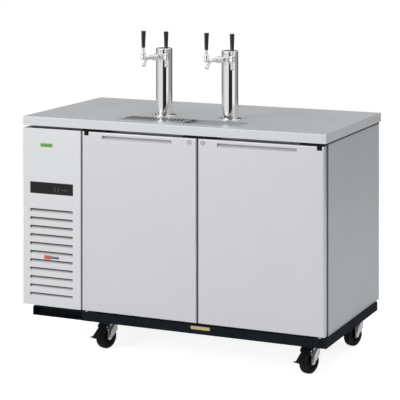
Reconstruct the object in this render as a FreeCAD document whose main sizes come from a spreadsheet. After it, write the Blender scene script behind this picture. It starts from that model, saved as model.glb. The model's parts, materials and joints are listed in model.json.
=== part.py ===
"""Two-door kegerator with two draught towers: a parametric FreeCAD document, in millimetres.

+X is to the right as seen from the front, +Y to the back, +Z up. The origin is on the floor, under
the centre of the whole object's box. Cabinet parts are drawn with Y = 0 on the plane of the door
fronts, and each sub-part's Placement moves them by front_y. Casters, tap parts and fans are drawn
about their own axis, and their Placement puts them on the object.
"""
import FreeCAD
import Part
import Sketcher
import math
import os
import re

DIMENSIONS = {
    # whole object: Y position of the door fronts, sheet metal, feet of the main boxes
    "front_y": -353.5,
    "sheet": 2,
    "top_half": 747.5,
    "top_depth": 711,
    "top_z": 1041,
    "top_thick": 41,
    "top_round": 4,
    "core_front": 60,
    "cab_half": 739.5,
    "cab_front": 52,
    "cab_back": 706,
    "cab_bottom": 171,
    "cab_top": 990,
    "room_left": -436,
    "foam_side": 48,
    "foam_back": 46,
    "foam_roof": 46,
    "foam_floor": 62,
    "wear_left": -340,
    "wear_gap": 20,
    "wear_thick": 3,
    "mullion_left": 111,
    "mullion_right": 171,
    "mullion_deep": 40,
    # doors
    "door_bottom": 177,
    "door_top": 988,
    "door_thick": 27,
    "door_skin": 1.5,
    "door_round": 5,
    "door1_left": -436.2,
    "door1_right": 136.8,
    "door2_left": 145.7,
    "door2_right": 739.5,
    "hinge_inset": 22,
    "hinge_deep": 10,
    "hinge_knob_r": 10,
    "hinge_knob_low": 970,
    "hinge_pin_r": 4,
    "pin_bore_r": 4.05,
    "pin_reach": 26,
    "notch_half": 12,
    "notch_deep": 22,
    "liner_plate": 3,
    "liner_edge": 3,
    "dam_gap": 10,
    "dam_back": 62,
    "seal_wide": 20,
    "seal_hinge_inset": 24,
    "seal_free_inset": 4,
    "seal_end_inset": 16,
    # recessed grips: a scoop near the top of each door
    "grip1_left": -334,
    "grip1_right": 16,
    "grip2_left": 238,
    "grip2_right": 615,
    "grip_top": 973,
    "grip_bottom": 956,
    "grip_deep": 14,
    "grip_back_low": 970,
    # door locks
    "lock1_x": 103,
    "lock2_x": 169,
    "lock_z": 970,
    "lock_r": 10,
    "lock_bore_r": 10.05,
    "lock_proud": 4,
    "lock_deep": 18,
    "cam_reach": 24,
    "cam_half": 4.5,
    "cam_thick": 3,
    "cam_room": 28,
    "cam_slot_half": 20,
    "key_long": 10,
    "key_wide": 2,
    # hinge plates and lock strike
    "plate_low": 990,
    "plate_high": 995,
    "plate_front": 2,
    "plate_back": 58,
    "plate1_right": -313,
    "plate2_left": 625,
    "strike_left": 70,
    "strike_right": 215,
    "shelf1_right": -357,
    "shelf2_left": 688,
    "face2_right": 718,
    "shelf_back": 40,
    "shelf_thick": 3,
    "washer_r": 10,
    "washer_high": 2.5,
    "low_pin_top": 203,
    # grille panel, louvres and temperature display
    "grille_left": -747.5,
    "grille_right": -443.2,
    "grille_back": 52,
    "grille_lip": 12,
    "louvre_left": -708.5,
    "louvre_right": -484.5,
    "louvre_first": 235.5,
    "louvre_pitch": 38.5,
    "louvre_count": 11,
    "louvre_high": 17,
    "louvre_deep": 12,
    "louvre_slit": 6.5,
    "display_left": -709,
    "display_right": -483,
    "display_low": 690,
    "display_high": 743,
    "display_inset": 0.5,
    "display_deep": 14,
    # base frame and plates
    "frame_low": 131,
    "frame_wall": 3,
    "frame_front": 3,
    "frame_back": 661,
    "frame_end": -696,
    "frame_right": 747.5,
    "frame_corner": 719,
    "rail": 40,
    "right_rail": 113,
    "rail_left": -357,
    "kick_left": -356,
    "kick_right": 687,
    "badge_left": 111,
    "badge_right": 205,
    "badge_low": 151.5,
    "badge_high": 166,
    "badge_thick": 2,
    "badge_round": 6,
    # drip tray
    "tray_left": -289,
    "tray_right": 307,
    "tray_front": 65,
    "tray_back": 190,
    "tray_low": 1010,
    "tray_wall": 1.5,
    "tray_floor_z": 1031,
    "sump_right": 36,
    "sump_floor_z": 1012,
    "ledge": 6,
    "grid_thick": 3,
    "grid_gap": 0.5,
    "grid_slot_wide": 10,
    "grid_slot_long": 27,
    "grid_pitch": 19.5,
    "grid_columns": 15,
    "grid_rows": 2,
    "grid_row_pitch": 33,
    "grid_back": 13,
    # drain
    "drain_x": -270,
    "drain_y": 128,
    "drain_r": 8,
    "drain_hole_r": 8.3,
    "drain_out_x": -372,
    "drain_out_y": 640,
    "drain_low": 100,
    "barb_r": 9.5,
    "barb_long": 32,
    # towers
    "tower1_x": -146,
    "tower2_x": 187,
    "tower_y": 245,
    "tower_r": 37.5,
    "tower_wall": 2,
    "tower_top": 1353,
    "tower_round": 5,
    "flange_r": 54,
    "flange_thick": 6,
    "flange_slope": 2,
    "tower_bore_r": 33,
    "flange_screw_r": 2.1,
    "flange_screw_circle": 46,
    # taps: their turns about the tower, shank height and distances from the tower's axis
    "tap1_turn": -19,
    "tap2_turn": 31,
    "tap3_turn": -29,
    "tap4_turn": 29,
    "shank_z": 1316,
    "shank_r": 8,
    "shank_bore_r": 4,
    "shank_in": 27,
    "shank_out": 58,
    "collar_r": 17,
    "collar_in": 31,
    "collar_out": 43,
    "lock_nut_r": 12.5,
    "lock_nut_in": 27.5,
    "lock_nut_out": 32.5,
    "coupling_r": 15.5,
    "coupling_in": 46,
    "coupling_out": 64,
    "barrel_r": 9,
    "chamber_out": 131,
    "chamber_r": 11,
    "chamber_low": 1320,
    "chamber_top": 1340,
    "socket_r": 7.5,
    "socket_low": 1330,
    "spout_start": 106,
    "spout_long": 43,
    "spout_r": 7.5,
    "spout_bore_r": 5,
    "spout_lean": 35,
    "lever_pivot_z": 1338,
    "lever_ball_r": 6.5,
    "lever_stem_r": 3.5,
    "ferrule_low": 1346,
    "ferrule_high": 1364,
    "ferrule_r1": 7,
    "ferrule_r2": 6,
    "handle_top": 1440,
    "handle_r1": 8.5,
    "handle_r2": 11,
    "lever_lean": 1,
    # beer lines and gas port
    "line_r": 4,
    "line_run_z": 905,
    "line_back": 640,
    "line_end": 600,
    "line_spread": 14,
    "tail_r": 9,
    "tail_long": 24,
    "gas_x": 600,
    "gas_z": 850,
    "gas_r": 10,
    "gas_bore_r": 6.5,
    "gas_lip": 2,
    "bar_left": 420,
    "bar_right": 560,
    "bar_low": 822,
    "bar_size": 30,
    "bar_outlets": 4,
    "outlet_r": 4,
    "outlet_long": 22,
    # condensing unit
    "coil_left": -715,
    "coil_right": -465,
    "coil_front": 70,
    "coil_back": 108,
    "coil_low": 173,
    "coil_high": 600,
    "fin_pitch": 12,
    "fin_thick": 1,
    "tube_r": 5,
    "tube_pitch": 44,
    "fan_x": -590,
    "fan_z": 400,
    "fan_r": 105,
    "fan_y": 134,
    "shroud_back": 150,
    "shroud_mouth_r": 112,
    "motor_y": 160,
    "motor_r": 36,
    "motor_long": 52,
    "arm_thick": 4,
    "arm_half": 8,
    "arm_inset": 10,
    "arm_foot_half": 6,
    "compressor_x": -590,
    "compressor_y": 470,
    "compressor_r": 88,
    "compressor_low": 196,
    "compressor_high": 400,
    "compressor_round": 14,
    "foot_high": 16,
    "foot_r": 12,
    "foot_inset": 16,
    "foot_plate": 210,
    # evaporator
    "evap_front": 160,
    "evap_back": 560,
    "evap_low": 500,
    "evap_high": 880,
    "evap_deep": 88,
    "evap_fan_y": 360,
    "evap_fan_z": 760,
    "evap_fan_r": 84,
    "evap_mouth_r": 90,
    "intake_inset": 40,
    "intake_low": 20,
    "intake_high": 60,
    "evap_coil_inset": 30,
    "evap_coil_deep": 44,
    "evap_coil_low": 10,
    "evap_coil_high": 150,
    "evap_tube_low": 26,
    "evap_tubes": 3,
    "evap_motor_in": 8,
    "evap_motor_r": 28,
    "evap_motor_long": 32,
    "evap_shaft_long": 36,
    "evap_bar_thick": 3,
    "evap_bar_half": 10,
    # fans
    "hub_r": 22,
    "hub_long": 16,
    "shaft_r": 3,
    "shaft_bore_r": 3.05,
    "blade_count": 5,
    "blade_wide": 46,
    "blade_thick": 1.6,
    "blade_pitch": 24,
    # rear grille and power cord
    "rear_y": 640,
    "rear_low": 200,
    "rear_high": 960,
    "rear_slot_low": 260,
    "rear_slot_wide": 200,
    "rear_slot_high": 8,
    "rear_slot_pitch": 26,
    "rear_slot_count": 12,
    "cord_r": 4,
    "cord_hang": 30,
    "cord_start_x": -500,
    "cord_start_z": 640,
    "cord_turn_x": -660,
    "cord_end_x": -560,
    "cord_low": 300,
    "cord_high": 820,
    "plug_top": 700,
    "plug_wide": 30,
    "plug_deep": 22,
    "plug_high": 44,
    "prong_long": 18,
    "prong_wide": 6,
    "prong_thick": 2,
    "prong_gap": 12,
    # casters
    "caster_left": -337,
    "caster_right": 655,
    "caster_rear_right": 690,
    "caster_front": 95,
    "caster_rear": 545,
    "caster_turn": -19,
    "trail": 32,
    "wheel_r": 50,
    "wheel_half": 16,
    "tread_round": 4,
    "web_r": 38,
    "web_half": 11,
    "hub_boss_r": 14,
    "axle_r": 6,
    "axle_bore_r": 6.05,
    "axle_head_r": 9,
    "axle_head": 4,
    "leg_in": 20,
    "leg_thick": 3,
    "leg_foot": 8,
    "leg_rear": 15,
    "leg_knee_z": 76,
    "rib_high": 1.5,
    "rib_edge": 4,
    "fork_top": 118,
    "fork_plate_z": 109,
    "head_r": 26,
    "kingpin_r": 8,
    "kingpin_bore_r": 8.05,
    "kingpin_top": 130,
    "race_low": 119,
    "race_r": 27,
    "mount_low": 127,
    "mount_half": 35,
    "pedal_pivot_y": -50,
    "pedal_pivot_z": 102,
    "pedal_pin_r": 3,
    "pedal_bore_r": 3.05,
    "pedal_hub_r": 6,
    "pedal_half": 17,
    "pedal_tip_half": 25,
    "cover_half": 28,
    "cover_back": -36,
    "cover_rise": 12,
    "cover_nose": 10,
    "pedal_tip_y": -101,
    "pedal_tip_z": 58,
    "pedal_thick": 4,
    # screws
    "screw_r": 2,
    "screw_head_r": 4.5,
    "screw_head_high": 2.2,
    "screw_long": 9,
}

AXIS_ROTATIONS = {
    "Z": FreeCAD.Rotation(),
    "X": FreeCAD.Rotation(FreeCAD.Vector(0, 1, 0), 90),
    "Y": FreeCAD.Rotation(FreeCAD.Vector(1, 0, 0), -90),
}

doc = FreeCAD.newDocument("Kegerator")
sheet = doc.addObject("Spreadsheet::Sheet", "dims")
for row, (alias, number) in enumerate(DIMENSIONS.items(), start=1):
    sheet.set(f"A{row}", alias)
    sheet.set(f"B{row}", str(number))
    sheet.setAlias(f"B{row}", alias)
doc.recompute()

nodes = []


# --------------------------------------------------------------------------- shared helpers
def formula(text):
    """The text as an expression in which each dimension's name points at the sheet."""
    return re.sub(
        r"[A-Za-z_]\w*",
        lambda word: f"dims.{word[0]}" if word[0] in DIMENSIONS else word[0],
        str(text),
    )


def size(name):
    """The number that the sheet holds under this name."""
    return float(sheet.get(name))


def bind(item, **formulas):
    """Bind properties to formulas; a double underscore in a name stands for a dot."""
    for name, text in formulas.items():
        item.setExpression(name.replace("__", "."), formula(text))
    return item


def place(item, x=0, y=0, z=0):
    """Bind the position of an item, in the frame that its sub-part is drawn in."""
    return bind(item, Placement__Base__x=x, Placement__Base__y=y, Placement__Base__z=z)


def box(x0, x1, y0, y1, z0, z1):
    block = doc.addObject("Part::Box", "Box")
    bind(block, Length=f"({x1}) - ({x0})", Width=f"({y1}) - ({y0})", Height=f"({z1}) - ({z0})")
    return place(block, x0, y0, z0)


def cylinder(x, y, z, radius, length, axis="Z"):
    """A cylinder that starts at (x, y, z) and runs along +axis."""
    rod = doc.addObject("Part::Cylinder", "Cylinder")
    rod.Placement.Rotation = AXIS_ROTATIONS[axis]
    bind(rod, Radius=radius, Height=length)
    return place(rod, x, y, z)


def cone(x, y, z, radius1, radius2, length):
    taper = doc.addObject("Part::Cone", "Cone")
    bind(taper, Radius1=radius1, Radius2=radius2, Height=length)
    return place(taper, x, y, z)


def ball(x, y, z, radius):
    sphere = doc.addObject("Part::Sphere", "Sphere")
    bind(sphere, Radius=radius)
    return place(sphere, x, y, z)


def fuse(*items):
    joined = doc.addObject("Part::MultiFuse", "Fuse")
    joined.Shapes = list(items)
    return joined


def cut(base, *tools):
    rest = doc.addObject("Part::Cut", "Cut")
    rest.Base = base
    rest.Tool = tools[0] if len(tools) == 1 else fuse(*tools)
    return rest


def group(*items):
    together = doc.addObject("Part::Compound", "Group")
    together.Links = list(items)
    return together


def node(label, item, x=0, y="front_y", z=0, turn=None):
    """Register an item as a sub-part: its Label, its Placement and a place in the hand-in."""
    if item.TypeId in ("Part::Box", "Part::Cylinder"):
        item = group(item)
    item.Label = label
    if turn is not None:
        item.Placement.Rotation = turn
    place(item, x, y, z)
    nodes.append(item)
    return item


def shape_node(label, shape, y=None):
    """Register a shape that Part's own functions made, already in its sub-part's frame."""
    item = doc.addObject("Part::Feature", "Swept")
    item.Shape = shape
    item.Label = label
    offset = size("front_y") if y is None else y
    item.Placement = FreeCAD.Placement(FreeCAD.Vector(0, offset, 0), FreeCAD.Rotation())
    nodes.append(item)
    return item


def turned(item, turn, x=0, y=0, z=0):
    """A copy-free turn: the item inside a group that has its own Placement."""
    holder = group(item)
    holder.Placement.Rotation = turn
    return place(holder, x, y, z)


def about_z(degrees):
    return FreeCAD.Rotation(FreeCAD.Vector(0, 0, 1), degrees)


# --------------------------------------------------------------------------- PartDesign helpers
def new_body(label, x=0, y="front_y", z=0):
    body = doc.addObject("PartDesign::Body", "Body")
    body.Label = label
    place(body, x, y, z)
    nodes.append(body)
    return body


def sketch_on(body, role, offset=0):
    """A sketch on one of the body's own origin planes, offset along the plane's normal."""
    sketch = body.newObject("Sketcher::SketchObject", "Sketch")
    plane = next(item for item in body.Origin.OriginFeatures if item.Role == role)
    sketch.AttachmentSupport = [(plane, "")]
    sketch.MapMode = "FlatFace"
    bind(sketch, AttachmentOffset__Base__z=offset)
    return sketch


def pin_point(sketch, edge, end, x, y):
    """Dimension one point of a sketch edge from the sketch's origin."""
    for kind, text in (("DistanceX", x), ("DistanceY", y)):
        index = sketch.addConstraint(Sketcher.Constraint(kind, -1, 1, edge, end, 1))
        sketch.setExpression(f"Constraints[{index}]", formula(text))


def polygon(sketch, points):
    """A closed outline with every corner dimensioned; it starts as a regular polygon."""
    count = len(points)
    first = sketch.GeometryCount
    corners = [
        FreeCAD.Vector(math.cos(2 * math.pi * i / count), math.sin(2 * math.pi * i / count), 0) * 100
        for i in range(count)
    ]
    for i in range(count):
        sketch.addGeometry(Part.LineSegment(corners[i], corners[(i + 1) % count]), False)
    for i in range(count):
        following = first + (i + 1) % count
        sketch.addConstraint(Sketcher.Constraint("Coincident", first + i, 2, following, 1))
    for i, (x, y) in enumerate(points):
        pin_point(sketch, first + i, 1, x, y)


def rectangle(sketch, x0, x1, y0, y1):
    polygon(sketch, [(x0, y0), (x1, y0), (x1, y1), (x0, y1)])


def circle(sketch, x, y, radius):
    index = sketch.addGeometry(
        Part.Circle(FreeCAD.Vector(0, 0, 0), FreeCAD.Vector(0, 0, 1), 10), False
    )
    pin_point(sketch, index, 3, x, y)
    rule = sketch.addConstraint(Sketcher.Constraint("Radius", index, 10))
    sketch.setExpression(f"Constraints[{rule}]", formula(radius))


PLANES = {"X": ("YZ_Plane", 1), "Y": ("XZ_Plane", -1), "Z": ("XY_Plane", 1)}


def pad(body, axis, start, end, draw):
    """Add material between two positions along an axis; draw(sketch) makes the outline."""
    role, sign = PLANES[axis]
    sketch = sketch_on(body, role, start if sign > 0 else f"-({end})")
    draw(sketch)
    feature = body.newObject("PartDesign::Pad", "Pad")
    feature.Profile = sketch
    return bind(feature, Length=f"({end}) - ({start})")


def pocket(body, axis, start, end, draw):
    """Remove material between two positions along an axis; draw(sketch) makes the outline."""
    role, sign = PLANES[axis]
    sketch = sketch_on(body, role, end if sign > 0 else f"-({start})")
    draw(sketch)
    feature = body.newObject("PartDesign::Pocket", "Pocket")
    feature.Profile = sketch
    return bind(feature, Length=f"({end}) - ({start})")


def revolve(body, role, points, axis):
    sketch = sketch_on(body, role)
    polygon(sketch, points)
    feature = body.newObject("PartDesign::Revolution", "Revolution")
    feature.Profile = sketch
    feature.ReferenceAxis = (sketch, [axis])
    return feature


def pattern(body, features, axis_role, length, count):
    """Repeat features in a line over a length; the pattern becomes the body's tip."""
    row = body.newObject("PartDesign::LinearPattern", "LinearPattern")
    row.Originals = features
    axis = next(item for item in body.Origin.OriginFeatures if item.Role == axis_role)
    row.Direction = (axis, [""])
    bind(row, Length=length, Occurrences=count)
    body.Tip = row
    return row


def round_edges(body, radius, chosen):
    """Fillet the edges of the body's tip that chosen(edge) picks."""
    doc.recompute()
    base = body.Tip
    names = [f"Edge{i}" for i, edge in enumerate(base.Shape.Edges, 1) if chosen(edge)]
    fillet = body.newObject("PartDesign::Fillet", "Fillet")
    fillet.Base = (base, names)
    return bind(fillet, Radius=radius)


def runs_along(edge, axis):
    """Whether a straight edge runs along the axis (0, 1 or 2)."""
    low, high = edge.Vertexes[0].Point, edge.Vertexes[-1].Point
    return edge.Length > 1 and abs(abs(high[axis] - low[axis]) - edge.Length) < 1e-6


# --------------------------------------------------------------------------- swept tubes
def rounded_path(points, bend):
    """A wire through the points, with an arc of radius bend in place of each corner."""
    points = [FreeCAD.Vector(*point) for point in points]
    edges = []
    start = points[0]
    for before, corner, after in zip(points, points[1:], points[2:]):
        back = (before - corner).normalize()
        ahead = (after - corner).normalize()
        half_angle = back.getAngle(ahead) / 2
        reach = bend / math.tan(half_angle)
        into, out = corner + back * reach, corner + ahead * reach
        bisector = (back + ahead).normalize()
        middle = corner + bisector * (bend / math.sin(half_angle) - bend)
        edges.append(Part.LineSegment(start, into).toShape())
        edges.append(Part.Arc(into, middle, out).toShape())
        start = out
    edges.append(Part.LineSegment(start, points[-1]).toShape())
    return Part.Wire(edges)


def tube(points, bend, radius):
    """A solid round rod swept along a rounded path."""
    path = rounded_path(points, bend)
    heading = FreeCAD.Vector(*points[1]) - FreeCAD.Vector(*points[0])
    ring = Part.Wire([Part.makeCircle(radius, FreeCAD.Vector(*points[0]), heading)])
    return path.makePipeShell([ring], True, True)


# --------------------------------------------------------------------------- cabinet
TOWERS = (
    ("tower_left", "tower1_x", ("tap1_turn", "tap2_turn")),
    ("tower_right", "tower2_x", ("tap3_turn", "tap4_turn")),
)


def tower_positions():
    """The x of each tower's axis, from left to right."""
    return [x for _, x, _ in TOWERS]


def roof_bores(z0, z1):
    """Tools for the holes that the towers and the drain need between two heights."""
    tools = [cylinder(x, "tower_y", z0, "tower_bore_r", f"({z1}) - ({z0})") for x in tower_positions()]
    tools.append(cylinder("drain_x", "drain_y", z0, "drain_hole_r", f"({z1}) - ({z0})"))
    return tools


def floor_bore(z0, z1):
    return cylinder("drain_out_x", "drain_out_y", z0, "drain_hole_r", f"({z1}) - ({z0})")


def gas_bore(y0, y1):
    return cylinder("gas_x", y0, "gas_z", "gas_r", f"({y1}) - ({y0})", "Y")


ROOM_RIGHT = "cab_half - sheet"
ROOM_BACK = "cab_back - sheet"
ROOM_LOW = "cab_bottom + sheet"
ROOM_HIGH = "cab_top - sheet"
LINER_LEFT = "room_left + foam_side"
LINER_RIGHT = "cab_half - sheet - foam_side"
LINER_BACK = "cab_back - sheet - foam_back"
LINER_LOW = "cab_bottom + sheet + foam_floor"
LINER_HIGH = "cab_top - sheet - foam_roof"


def build_outer_shell():
    """Folded steel outside: keg room to the right of a partition, machine room to its left."""
    outside = box("-cab_half", "cab_half", "cab_front", "cab_back", "cab_bottom", "cab_top")
    room = box("room_left", ROOM_RIGHT, "cab_front", ROOM_BACK, ROOM_LOW, ROOM_HIGH)
    machine = box("sheet - cab_half", "room_left - sheet", "cab_front", "cab_back", ROOM_LOW, ROOM_HIGH)
    bores = [*roof_bores(ROOM_HIGH, "cab_top"), floor_bore("cab_bottom", ROOM_LOW)]
    bores.append(gas_bore(ROOM_BACK, "cab_back"))
    node("outer_shell", cut(outside, room, machine, *bores))


def build_insulation():
    """Five foam slabs that fill the space between the outer shell and the liner."""
    roof = box("room_left", ROOM_RIGHT, "cab_front", ROOM_BACK, LINER_HIGH, ROOM_HIGH)
    floor = box("room_left", ROOM_RIGHT, "cab_front", ROOM_BACK, ROOM_LOW, LINER_LOW)
    left = box("room_left", LINER_LEFT, "cab_front", ROOM_BACK, LINER_LOW, LINER_HIGH)
    right = box(LINER_RIGHT, ROOM_RIGHT, "cab_front", ROOM_BACK, LINER_LOW, LINER_HIGH)
    back = box(LINER_LEFT, LINER_RIGHT, LINER_BACK, ROOM_BACK, LINER_LOW, LINER_HIGH)
    slabs = (
        cut(roof, *roof_bores(LINER_HIGH, ROOM_HIGH)),
        cut(floor, floor_bore(ROOM_LOW, LINER_LOW)),
        left,
        right,
        cut(back, gas_bore(LINER_BACK, ROOM_BACK)),
    )
    node("insulation", group(*slabs))


def build_inner_liner():
    """Steel box that the kegs stand in, with a raised wear plate under them."""
    block = box(LINER_LEFT, LINER_RIGHT, "cab_front", LINER_BACK, LINER_LOW, LINER_HIGH)
    hollow = box(
        f"{LINER_LEFT} + sheet",
        f"{LINER_RIGHT} - sheet",
        "cab_front",
        f"{LINER_BACK} - sheet",
        f"{LINER_LOW} + sheet",
        f"{LINER_HIGH} - sheet",
    )
    bores = [*roof_bores(f"{LINER_HIGH} - sheet", LINER_HIGH), floor_bore(LINER_LOW, f"{LINER_LOW} + sheet")]
    floor = f"{LINER_LOW} + sheet"
    wear_plate = box(
        "wear_left",
        f"{LINER_RIGHT} - sheet - wear_gap",
        "cab_front + mullion_deep + wear_gap",
        f"{LINER_BACK} - sheet - wear_gap",
        floor,
        f"{floor} + wear_thick",
    )
    shell = cut(block, hollow, *bores, gas_bore(f"{LINER_BACK} - sheet", LINER_BACK))
    node("inner_liner", fuse(shell, wear_plate))


def build_face_frame():
    """Front frame that the door seals close on, with the post between the two doors."""
    body = new_body("face_frame")
    front = "cab_front - sheet"
    low, high = f"{LINER_LOW} + sheet", f"{LINER_HIGH} - sheet"
    pad(
        body,
        "Y",
        front,
        "cab_front",
        lambda sketch: rectangle(sketch, "room_left - sheet", "cab_half", "cab_bottom", "cab_top"),
    )
    openings = ((f"{LINER_LEFT} + sheet", "mullion_left"), ("mullion_right", f"{LINER_RIGHT} - sheet"))
    for left, right in openings:
        pocket(body, "Y", front, "cab_front", lambda sketch: rectangle(sketch, left, right, low, high))
    post = [
        ("mullion_left", "cab_front"),
        ("mullion_right", "cab_front"),
        ("mullion_right", "cab_front + mullion_deep"),
        ("mullion_right - sheet", "cab_front + mullion_deep"),
        ("mullion_right - sheet", "cab_front + sheet"),
        ("mullion_left + sheet", "cab_front + sheet"),
        ("mullion_left + sheet", "cab_front + mullion_deep"),
        ("mullion_left", "cab_front + mullion_deep"),
    ]
    pad(body, "Z", low, high, lambda sketch: polygon(sketch, post))


def build_countertop():
    """Stainless worktop: a folded tray upside down, with holes for the drip tray and towers."""
    body = new_body("countertop")
    low = "top_z - top_thick"
    pad(
        body,
        "Z",
        low,
        "top_z",
        lambda sketch: rectangle(sketch, "-top_half", "top_half", 0, "top_depth"),
    )
    round_edges(body, "top_round", lambda edge: edge.BoundBox.ZMin > size("top_z") - 1)
    pocket(
        body,
        "Z",
        low,
        "top_z - sheet",
        lambda sketch: rectangle(
            sketch, "sheet - top_half", "top_half - sheet", "sheet", "top_depth - sheet"
        ),
    )
    pocket(
        body,
        "Z",
        "top_z - sheet",
        "top_z",
        lambda sketch: rectangle(sketch, "tray_left", "tray_right", "tray_front", "tray_back"),
    )
    for x in tower_positions():
        pocket(
            body,
            "Z",
            "top_z - sheet",
            "top_z",
            lambda sketch: circle(sketch, x, "tower_y", "tower_bore_r"),
        )
    doc.recompute()
    bores = [screw_bore(x, y, "top_z - sheet", "sheet") for x, y in flange_screws()]
    nodes.remove(body)
    body.Label = "countertop_body"
    place(body)
    node("countertop", cut(body, *bores))


def build_countertop_core():
    """Stiffening board between the cabinet's roof and the worktop's skin."""
    high = "top_z - sheet"
    board = box("-cab_half", "cab_half", "core_front", "cab_back", "cab_top", high)
    tray = box("tray_left", "tray_right", "tray_front", "tray_back", "tray_low", high)
    bores = [screw_bore(x, y, "top_z - screw_long - sheet", "screw_long") for x, y in flange_screws()]
    node("countertop_core", cut(board, tray, *roof_bores("cab_top", high), *bores))


def build_drip_tray():
    """Recessed tray: a shallow floor on the right and a deeper sump under the grid on the left."""
    body = new_body("drip_tray")
    rim = ("tray_left", "tray_right", "tray_front", "tray_back")
    inner_front, inner_back = "tray_front + tray_wall", "tray_back - tray_wall"
    pad(body, "Z", "tray_low", "top_z", lambda sketch: rectangle(sketch, *rim))
    pocket(
        body,
        "Z",
        "tray_floor_z",
        "top_z",
        lambda sketch: rectangle(sketch, "sump_right", "tray_right - tray_wall", inner_front, inner_back),
    )
    pocket(
        body,
        "Z",
        "top_z - grid_thick",
        "top_z",
        lambda sketch: rectangle(sketch, "tray_left + tray_wall", "sump_right", inner_front, inner_back),
    )
    pocket(
        body,
        "Z",
        "sump_floor_z",
        "top_z - grid_thick",
        lambda sketch: rectangle(
            sketch,
            "tray_left + tray_wall + ledge",
            "sump_right - ledge",
            f"{inner_front} + ledge",
            f"{inner_back} - ledge",
        ),
    )
    pocket(
        body,
        "Z",
        "tray_low",
        "sump_floor_z",
        lambda sketch: circle(sketch, "drain_x", "drain_y", "drain_r - 2"),
    )


def build_drip_grid():
    """Lift-out perforated plate over the sump, with two staggered rows of slots near its back."""
    body = new_body("drip_grid")
    left = "tray_left + tray_wall + grid_gap"
    front, back = "tray_front + tray_wall + grid_gap", "tray_back - tray_wall - grid_gap"
    low = "top_z - grid_thick"
    pad(
        body,
        "Z",
        low,
        "top_z",
        lambda sketch: rectangle(sketch, left, "sump_right - grid_gap", front, back),
    )
    for row in range(int(size("grid_rows"))):
        shift = f"{left} + grid_pitch * {0.5 if row % 2 else 1.0}"
        near = f"{back} - grid_back - grid_slot_long - {row} * grid_row_pitch"
        outline = (shift, f"{shift} + grid_slot_wide", near, f"{near} + grid_slot_long")
        slot = pocket(body, "Z", low, "top_z", lambda sketch: rectangle(sketch, *outline))
        pattern(body, [slot], "X_Axis", "grid_pitch * (grid_columns - 1)", "grid_columns")


def build_drain_line():
    """Waste tube from the sump, along the roof, down the back corner and out under the floor."""
    run_z, x, y = size("line_run_z"), size("drain_x"), size("drain_y")
    out_x, out_y, low = size("drain_out_x"), size("drain_out_y"), size("drain_low")
    radius = size("drain_r")
    points = [
        (x, y, size("tray_low")),
        (x, y, run_z + 10),
        (x, out_y, run_z),
        (out_x, out_y, run_z - 8),
        (out_x, out_y, low),
    ]
    pipe = tube(points, 3 * radius, radius)
    barb = Part.makeCylinder(size("barb_r"), size("barb_long"), FreeCAD.Vector(out_x, out_y, low))
    bore = tube([*points[:-1], (out_x, out_y, low)], 3 * radius, radius - 2)
    shape_node("drain_line", pipe.fuse(barb).removeSplitter().cut(bore))


# --------------------------------------------------------------------------- doors
def door_outline(left, right, inset_left, inset_right, inset_end):
    low, high = f"door_bottom + {inset_end}", f"door_top - {inset_end}"
    return lambda sketch: rectangle(sketch, f"{left} + {inset_left}", f"{right} - {inset_right}", low, high)


def notch_tool(hinge_x):
    return box(
        f"{hinge_x} - notch_half",
        f"{hinge_x} + notch_half",
        "-1",
        "notch_deep",
        "hinge_knob_low",
        "door_top + 1",
    )


def build_door(name, left, right, hinge_is_left, grip, lock_x):
    hinge_x = f"{left} + hinge_inset" if hinge_is_left else f"{right} - hinge_inset"
    insets = ("seal_hinge_inset", "seal_free_inset")
    if not hinge_is_left:
        insets = insets[::-1]
    build_door_skin(name, left, right, hinge_x, grip, lock_x)
    build_door_core(name, left, right, hinge_x, grip, lock_x)
    build_door_liner(name, left, right)
    build_door_gasket(name, left, right, insets)
    build_door_lock(name, lock_x, -1 if hinge_is_left else 1)


def build_door_skin(name, left, right, hinge_x, grip, lock_x):
    """Pressed steel pan with rounded edges, a scooped grip, a lock hole and a hinge notch."""
    body = new_body(f"{name}_skin")
    pad(body, "Y", 0, "door_thick", door_outline(left, right, 0, 0, 0))
    round_edges(body, "door_round", lambda edge: edge.BoundBox.YMax < 0.1)
    pocket(
        body,
        "Y",
        "door_skin",
        "door_thick",
        door_outline(left, right, "door_skin", "door_skin", "door_skin"),
    )
    pad(body, "X", f"{grip[0]} - door_skin", f"{grip[1]} + door_skin", grip_cup("door_skin"))
    pocket(body, "X", grip[0], grip[1], grip_cup("0"))
    pocket(body, "Y", 0, "door_skin", lambda sketch: circle(sketch, lock_x, "lock_z", "lock_bore_r"))
    pocket(
        body,
        "Z",
        "door_top - door_skin",
        "door_top",
        lambda sketch: rectangle(
            sketch,
            f"{lock_x} - cam_slot_half",
            f"{lock_x} + cam_slot_half",
            "lock_deep - cam_thick",
            "lock_deep + 2 * cam_thick",
        ),
    )
    pocket(
        body,
        "Z",
        "hinge_knob_low",
        "door_top",
        lambda sketch: rectangle(
            sketch, f"{hinge_x} - notch_half", f"{hinge_x} + notch_half", 0, "notch_deep"
        ),
    )
    pocket(
        body,
        "Z",
        "door_bottom",
        "door_bottom + door_skin",
        lambda sketch: circle(sketch, hinge_x, "hinge_deep", "hinge_pin_r + 1"),
    )


def grip_cup(margin):
    """Side profile (Y, Z) of a grip, grown by a margin behind the door's front sheet."""
    return lambda sketch: polygon(
        sketch,
        [
            (0, f"grip_bottom - {margin}"),
            (f"grip_deep + {margin}", f"grip_back_low - {margin}"),
            (f"grip_deep + {margin}", f"grip_top + {margin}"),
            (0, f"grip_top + {margin}"),
        ],
    )


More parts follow.
